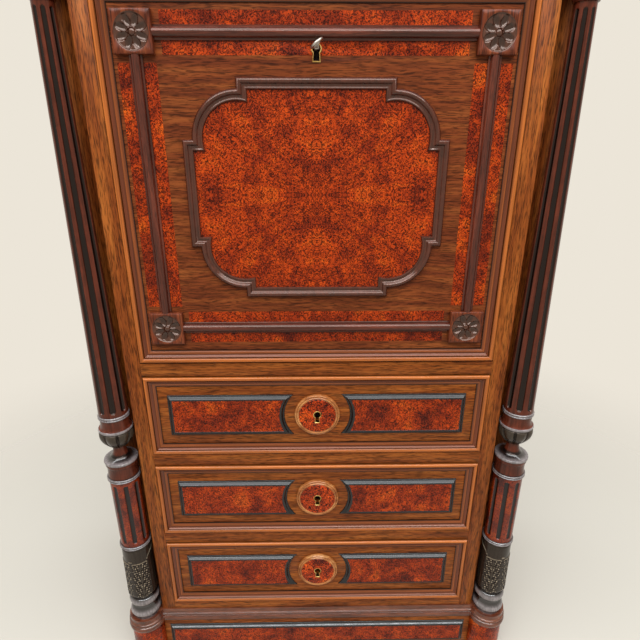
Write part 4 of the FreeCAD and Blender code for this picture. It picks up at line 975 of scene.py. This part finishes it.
# Centre moulding of the fall: dark moulding steamed round the corners, with a small square step at
# each end of a curve. It frames a burl panel laid in four matched quarters.
CENTRE_HALF = (209.5, 172)
CENTRE_STEP = 15.5
CENTRE_ARC = 72
CENTRE_MOULD = (17, 9)
ARC_STEPS = 18
CENTRE_PROFILE = [
    (0, 0), (0, 0.42), (0.05, 0.62), (0.12, 0.82), (0.2, 0.95), (0.29, 1), (0.38, 0.95), (0.46, 0.8),
    (0.53, 0.58), (0.6, 0.44), (0.7, 0.38), (0.77, 0.42), (0.79, 0.54), (0.86, 0.6), (0.94, 0.54),
    (0.98, 0.42), (1, 0.3), (1, 0)]


def centre_outline(inset):
    """Straight sides that step out between rounded corners."""
    half_x, half_z = CENTRE_HALF
    arc_x, arc_z = half_x - CENTRE_STEP - CENTRE_ARC, half_z - CENTRE_STEP - CENTRE_ARC
    radius = CENTRE_ARC - inset
    past = asin(inset / radius)
    quarter = [(arc_x - inset, half_z - inset),
               *[(arc_x + radius * cos(turn), arc_z + radius * sin(turn))
                 for turn in sweep(pi / 2 + past, -past, ARC_STEPS)],
               (half_x - inset, arc_z - inset)]
    points = []
    for side, up in ((1, 1), (1, -1), (-1, -1), (-1, 1)):
        corner = [(side * x, CENTRE_Z + up * z) for x, z in quarter]
        points += corner if side == up else corner[::-1]
    return points


centre_wood = dark_polish("centre_moulding_wood", srgb(82, 36, 22), srgb(26, 15, 11), 0.14, 0.65, WARM)
mitred("fall_shaped_moulding", [centre_outline],
       CENTRE_PROFILE, CENTRE_MOULD, FIELD, "fall", "rosewood", [centre_wood] * 2,
       "fall_centre_moulding")
dress("fall_burl_panel", burl("burl_quarter_matched", matched_about=(0, 0, CENTRE_Z * MM)))

# Writing leather: a skin of dark green leather let into the back of the fall, with a gilt line tooled
# round its edge.
LEATHER = ((-268, 268), (25.8, 27), (804.4, 1200.4))
TOOLING = ((14, 0), (1.4, 1), (5, 0), (0.7, 1))
leather, shader, place = finish("green_leather", 0.52, 0.35)
pebbles = add(place, "TexVoronoi", {"Vector": place, "Scale": 900})["Distance"]
wear = noise(place, 14, 5)
green = ramp(wear, (0.35, srgb(30, 48, 34)), (0.65, srgb(52, 74, 52)))
feed(shader, {"Base Color": green})
roughen(shader, wear, 0.45, 0.62)
raise_up(shader, pebbles, 0.3, 0.0002)


def metal(name, base, worn, gloss):
    """Metal with a drifting patina and fine scratches."""
    material, shader, place = finish(name, gloss, 0.5, 1.0)
    patina = noise(place, 120, 5)
    feed(shader, {"Base Color": ramp(patina, (0.35, worn), (0.6, base))})
    roughen(shader, patina, gloss + 0.12, gloss - 0.04)
    raise_up(shader, noise(place, 1500, 2), 0.05, 0.0002)
    return material


brass = metal("brass", srgb(228, 196, 124), srgb(164, 126, 66), 0.26)
bm = bmesh.new()
board(bm, *LEATHER, 0.3)
for margin, gilt in TOOLING:
    back = max(bm.faces, key=lambda face: face.calc_area() * (face.normal.y > 0.9))
    made = bmesh.ops.inset_region(bm, faces=[back], thickness=margin, depth=0, use_even_offset=True)
    for face in made["faces"]:
        face.material_index = gilt
piece("fall_writing_leather", bm, "fall", "leather", [leather, brass], "fall_leather")

# Metalwork of the fall: brass pivots in brass plates, brass quadrant stays in guides on the stiles, a
# steel lock case with a steel bolt, and a brass escutcheon filed to the shape of its keyhole. The front
# of the lock case, seen through the keyhole, is dark iron as painted shade, and so are the drawers' lock
# boards.
PLATE = (7.8, 50, 6.5, 18)
PLATE_WALL = 1.8
PLATE_THICK = 1.5
KEYHOLE_STEPS = 28
LOCK_BACK = 26
KEY_Z = 1249.4


def keyhole(radius, waist, foot, drop, inset):
    """A keyhole drawn in by an inset: a round top down to its waist, in degrees, and a foot."""
    turns = sweep(-radians(waist), radians(180 + waist), KEYHOLE_STEPS)
    points = [((radius - inset) * cos(turn), (radius - inset) * sin(turn)) for turn in turns]
    return points + [(inset - foot, inset - drop), (foot - inset, inset - drop)]


def keyhole_thread(shape, wall, thick, height):
    """A mesh of a thread of metal round a keyhole, with eased front edges."""
    bm = bmesh.new()
    section = ((0, 0), (0, thick - 0.3), (0.4, thick), (wall - 0.4, thick), (wall, thick - 0.4),
               (wall, 0))
    rings = [[(x, FIELD - up, height + z) for x, z in keyhole(*shape, inset)] for inset, up in section]
    loft(bm, rings, 1, True)
    return bm


steel = metal("steel", srgb(186, 182, 174), srgb(120, 112, 100), 0.3)
# Dark iron for the faces behind the keyholes, as painted shade.
keyhole_shade_iron = metal("lock_iron_painted_shade", srgb(44, 40, 38), srgb(26, 23, 22), 0.5)
piece("stile_plates_and_stay_guides", eased("fall_fittings", 0.4), "case", "brass", [brass],
      "fall_fittings")
piece("fall_pivot_plates", eased("fall_pivots", 0.3), "fall", "brass", [brass], "fall_pivots")
piece("fall_quadrant_stays", eased("fall_stays", 0.5), "fall", "brass", [brass], "fall_stays")
bm = eased("fall_lock", 0.4)
paint(bm, lambda middle, normal: middle.y < LOCK_BACK)
piece("fall_lock_case", bm, "fall", "steel", [steel, keyhole_shade_iron], "fall_lock")
piece("fall_bolt", eased("fall_lock_bolt", 0.4), "bolt", "steel", [steel], "fall_lock_bolt")
bm = keyhole_thread(PLATE, PLATE_WALL, PLATE_THICK, KEY_Z)
piece("fall_keyhole_plate", bm, "fall", "brass", [brass], "fall_escutcheon")

# Key: a turned steel shank with two collars, a bent ring for a bow and a flat bit at the end. It
# stands in the fall's lock with its bow slanting.
KEY_TILT = 37
KEY_FORE, KEY_BACK = 34, 17
KEY_STEPS = 32
BOW, WIRE = 9, 2
BOW_STEPS, WIRE_STEPS = 40, 14
BIT_X, BIT_Y, BIT_Z = (0.5, 9), (-1.5, 1.5), (1 - KEY_BACK, 6 - KEY_BACK)
bm = turned([
    (0, -KEY_BACK), (2.7, -KEY_BACK), (3, 0.4 - KEY_BACK), (3, 14), *roll(14, 17, 3, 4), (2.4, 17.6),
    (2.4, 29), *roll(29, 32, 2.6, 3.6), (2.6, 32.4), (2.2, KEY_FORE), (0, KEY_FORE)], KEY_STEPS)
circle = bmesh.ops.create_circle(bm, segments=WIRE_STEPS, radius=WIRE,
                                 matrix=Matrix.Translation((BOW, 0, KEY_FORE + BOW)))["verts"]
loop = list({edge for vert in circle for edge in vert.link_edges})
bmesh.ops.spin(bm, geom=circle + loop, cent=(0, 0, KEY_FORE + BOW), axis=(0, 1, 0), angle=tau,
               steps=BOW_STEPS, use_merge=True)
bmesh.ops.remove_doubles(bm, verts=bm.verts, dist=0.002)
board(bm, BIT_X, BIT_Y, BIT_Z, 0.3)
for turn in (TO_FRONT, Matrix.Rotation(-radians(KEY_TILT), 3, "Y")):
    bmesh.ops.rotate(bm, cent=(0, 0, 0), matrix=turn, verts=bm.verts)
bmesh.ops.translate(bm, vec=(0, FIELD, KEY_Z), verts=bm.verts)
piece("key", bm, "key", "steel", [steel], "fall_key")

# Drawers: a rosewood front with the fall's edge moulding, two burl panels with hollow inner ends in
# ebonised mouldings, a turned medallion with a burl disc, a brass keyhole thread and a softwood box.
DRAWER_HALF = 323
DRAWER_GAP = 1
DRAWER_MOULD = (21.5, 10)
PANEL_HALF = 284
MEDAL = 43.5
MEDAL_DISC = 35.5
PANEL_ARC = 63
MEDAL_STEPS = 72
THREAD = (8, 62, 5.5, 18)
THREAD_UP = 3
THREAD_WALL = 1.6
THREAD_DEEP = 9
LOCK_HALF = (24, 22)
LOCK_FRONT = 15
DRAWER_BACK = 27
BOX_END = 385.5
BOX_BOARD = 10
BOX_PLAY, BOX_SHORT = 0.4, 6
BOTTOM_LOW, BOTTOM_TOP = 8, 14


def hollow_ended(side, middle):
    """Three straight sides and an inner end hollowed round the medallion."""
    def outline(inset):
        end, half_high, radius = PANEL_HALF - inset, MEDAL - inset, PANEL_ARC + inset
        bend = asin(half_high / radius)
        points = [(end, half_high), (end, -half_high)]
        points += [(radius * cos(turn), radius * sin(turn)) for turn in sweep(-bend, bend, ARC_STEPS)]
        return [(side * x, middle + z) for x, z in points]
    return outline


def medallion():
    """A turned medallion facing up, pierced by the keyhole: its rim, then its burl disc."""
    bm = bmesh.new()
    rim = [(0, 0), (0, 3.6), (0.5, 5), (1.4, 6), (2.5, 6.2), (3.3, 5.6), (3.6, 4.9), (4, 5.6),
           (4.6, 7.4), (5.4, 8), (6.4, 7.6)]
    disc = [(MEDAL_DISC + 0.2, 6.6), (MEDAL_DISC, 7), (MEDAL_DISC - 0.8, 7.7), (30, 8.2), (22, 8.6),
            (14, 8.8)]
    turns = sweep(0, tau, MEDAL_STEPS)[:-1]
    rings = [[(radius * cos(turn), radius * sin(turn), height) for turn in turns]
             for radius, height in [(MEDAL - inward, up) for inward, up in rim] + disc]
    rings += [[(x, y + THREAD_UP, height) for x, y in keyhole(*THREAD, 0)] for height in (8.9, 0)]
    loft(bm, rings, 2, True)
    paint(bm, lambda middle, normal: hypot(middle.x, middle.y) < MEDAL_DISC and middle.z > 6)
    return bm


medal_wood = wood("medallion_wood", 0, srgb(150, 86, 42), srgb(184, 114, 60), srgb(208, 144, 84),
                  gloss=0.18, shine=0.6, lines=0.4, tint=WARM)
disc_burl = burl("burl_of_the_discs", shade=1.3)
for number in (1, 2, 3):
    body = f"drawer_{number}"
    low, high = SILLS[number] + DRAWER_GAP, HEADS[number] - DRAWER_GAP
    middle = (low + high) / 2
    piece(f"{body}_front_board", eased(f"{body}_front", 0.5), body, "rosewood", rosewood[:1],
          f"{body}_front")
    mitred(f"{body}_edge_moulding", [rectangle(-DRAWER_HALF, DRAWER_HALF, low, high)],
           EDGE_PROFILE, DRAWER_MOULD, FIELD, body, "rosewood", edge_woods, f"{body}_moulding")
    mitred(f"{body}_black_mouldings", [hollow_ended(side, middle) for side in (-1, 1)],
           PANEL_PROFILE, PANEL_MOULD, FIELD, body, "ebonised", [ebonised] * 2,
           f"{body}_panel_mouldings")
    dress(f"{body}_panels", burl_veneer)

    bm = medallion()
    bmesh.ops.rotate(bm, cent=(0, 0, 0), matrix=TO_FRONT, verts=bm.verts)
    bmesh.ops.translate(bm, vec=(0, FIELD, middle), verts=bm.verts)
    piece(f"{body}_turned_medallion", bm, body, "medallion_wood", [medal_wood, disc_burl],
          f"{body}_medallion")

    bm = keyhole_thread(THREAD, THREAD_WALL, THREAD_DEEP, middle + THREAD_UP)
    half_wide, half_high = LOCK_HALF
    lock_z = (middle - half_high, middle + half_high)
    board(bm, (-half_wide, half_wide), (LOCK_FRONT, DRAWER_BACK), lock_z, 0.5)
    # The lock board behind the keyhole is dark iron, as painted shade seen through the hole.
    paint(bm, lambda middle, normal: middle.y > LOCK_FRONT - 1)
    piece(f"{body}_keyhole_thread_and_lock", bm, body, "brass", [brass, keyhole_shade_iron], f"{body}_lock")

    bm = bmesh.new()
    foot, head = SILLS[number] + BOX_PLAY, HEADS[number] - BOX_SHORT
    inner, box_back = BOX_HALF - BOX_BOARD, BOX_END - BOX_BOARD
    board(bm, (-BOX_HALF, -inner), (DRAWER_BACK, BOX_END), (foot, head), 1)
    on_both_sides(bm)
    board(bm, (-inner, inner), (box_back, BOX_END), (foot, head), 1)
    board(bm, (-inner, inner), (DRAWER_BACK, box_back), (foot + BOTTOM_LOW, foot + BOTTOM_TOP), 0.3)
    piece(f"{body}_box_boards", bm, body, "carcase_wood", softwood, f"{body}_box")

# Floor and light: a plain floor that fades into the pale background, a soft room light, a wide lamp
# overhead as light from a skylight, and a narrow strip light in front of it.
PALE = srgb(236, 229, 216)
FLOOR = (0.56, 0.525, 0.455, 1)
FLOOR_SIZE = 30
FADE_START, FADE_END = 0.6, 1.9
ROOM, ROOM_LEVEL = (1, 0.97, 0.93, 1), 0.25
LAMP_COLOUR = (0.94, 0.97, 1)
LAMPS = (("skylight", (0, -0.9, 2.7), 3.4, 4, 182), ("strip_light", (0, -1.7, 2.5), 3.2, 0.1, 23))

material, shader, place = finish("pale_floor", 0.7, 0.1)
feed(shader, {"Base Color": FLOOR})
away = add(place, "VectorMath", {0: place}, operation="LENGTH")["Value"]
faded = add(place, "MapRange", {"Value": away, "From Min": FADE_START, "From Max": FADE_END},
            interpolation_type="SMOOTHSTEP")[0]
clear = add(place, "BsdfTransparent", {})[0]
mixed = add(place, "MixShader", {0: faded, 1: shader.outputs[0], 2: clear})[0]
feed(material.node_tree.nodes["Material Output"], {"Surface": mixed})
bm = bmesh.new()
bmesh.ops.create_grid(bm, x_segments=1, y_segments=1, size=FLOOR_SIZE)
floor = make("floor", bm, [material])

world = bpy.data.worlds.new("room")
bpy.context.scene.world = world
world.use_nodes = True
tree = world.node_tree
tree.nodes.clear()
path = add(tree, "LightPath", {})
seen = add(tree, "Math", {0: path["Is Camera Ray"], 1: path["Is Glossy Ray"]}, operation="MAXIMUM")[0]
seen = add(tree, "Math", {0: seen, 1: path["Is Transmission Ray"]}, operation="MAXIMUM")[0]
room = add(tree, "Background", {"Color": ROOM, "Strength": ROOM_LEVEL})[0]
wall = add(tree, "Background", {"Color": (*PALE, 1), "Strength": 1})[0]
mixed = add(tree, "MixShader", {0: seen, 1: room, 2: wall})[0]
add(tree, "OutputWorld", {"Surface": mixed})

for name, place, wide, deep, watts in LAMPS:
    data = bpy.data.lights.new(name, "AREA")
    data.shape = "RECTANGLE"
    data.size, data.size_y, data.energy = wide, deep, watts
    data.color = LAMP_COLOUR
    put(name, data).location = place

# Camera: close in front, a little above the middle of the object and looking down, so that the upright
# lines run together towards the floor.
LENS, SENSOR = 27.06, 36
CAMERA_SIDE, CAMERA_AWAY, CAMERA_HIGH = -0.0072, 0.8, 1.124
CAMERA_TILT, CAMERA_TURN = 69.42, -0.89
data = bpy.data.cameras.new("camera")
data.lens, data.sensor_width = LENS, SENSOR
camera = put("camera", data)
camera.location = (CAMERA_SIDE, FRAME_FACE - CAMERA_AWAY, CAMERA_HIGH)
camera.rotation_euler = (radians(CAMERA_TILT), 0, radians(CAMERA_TURN))
bpy.context.scene.camera = camera
bpy.context.scene.view_settings.view_transform = "Standard"
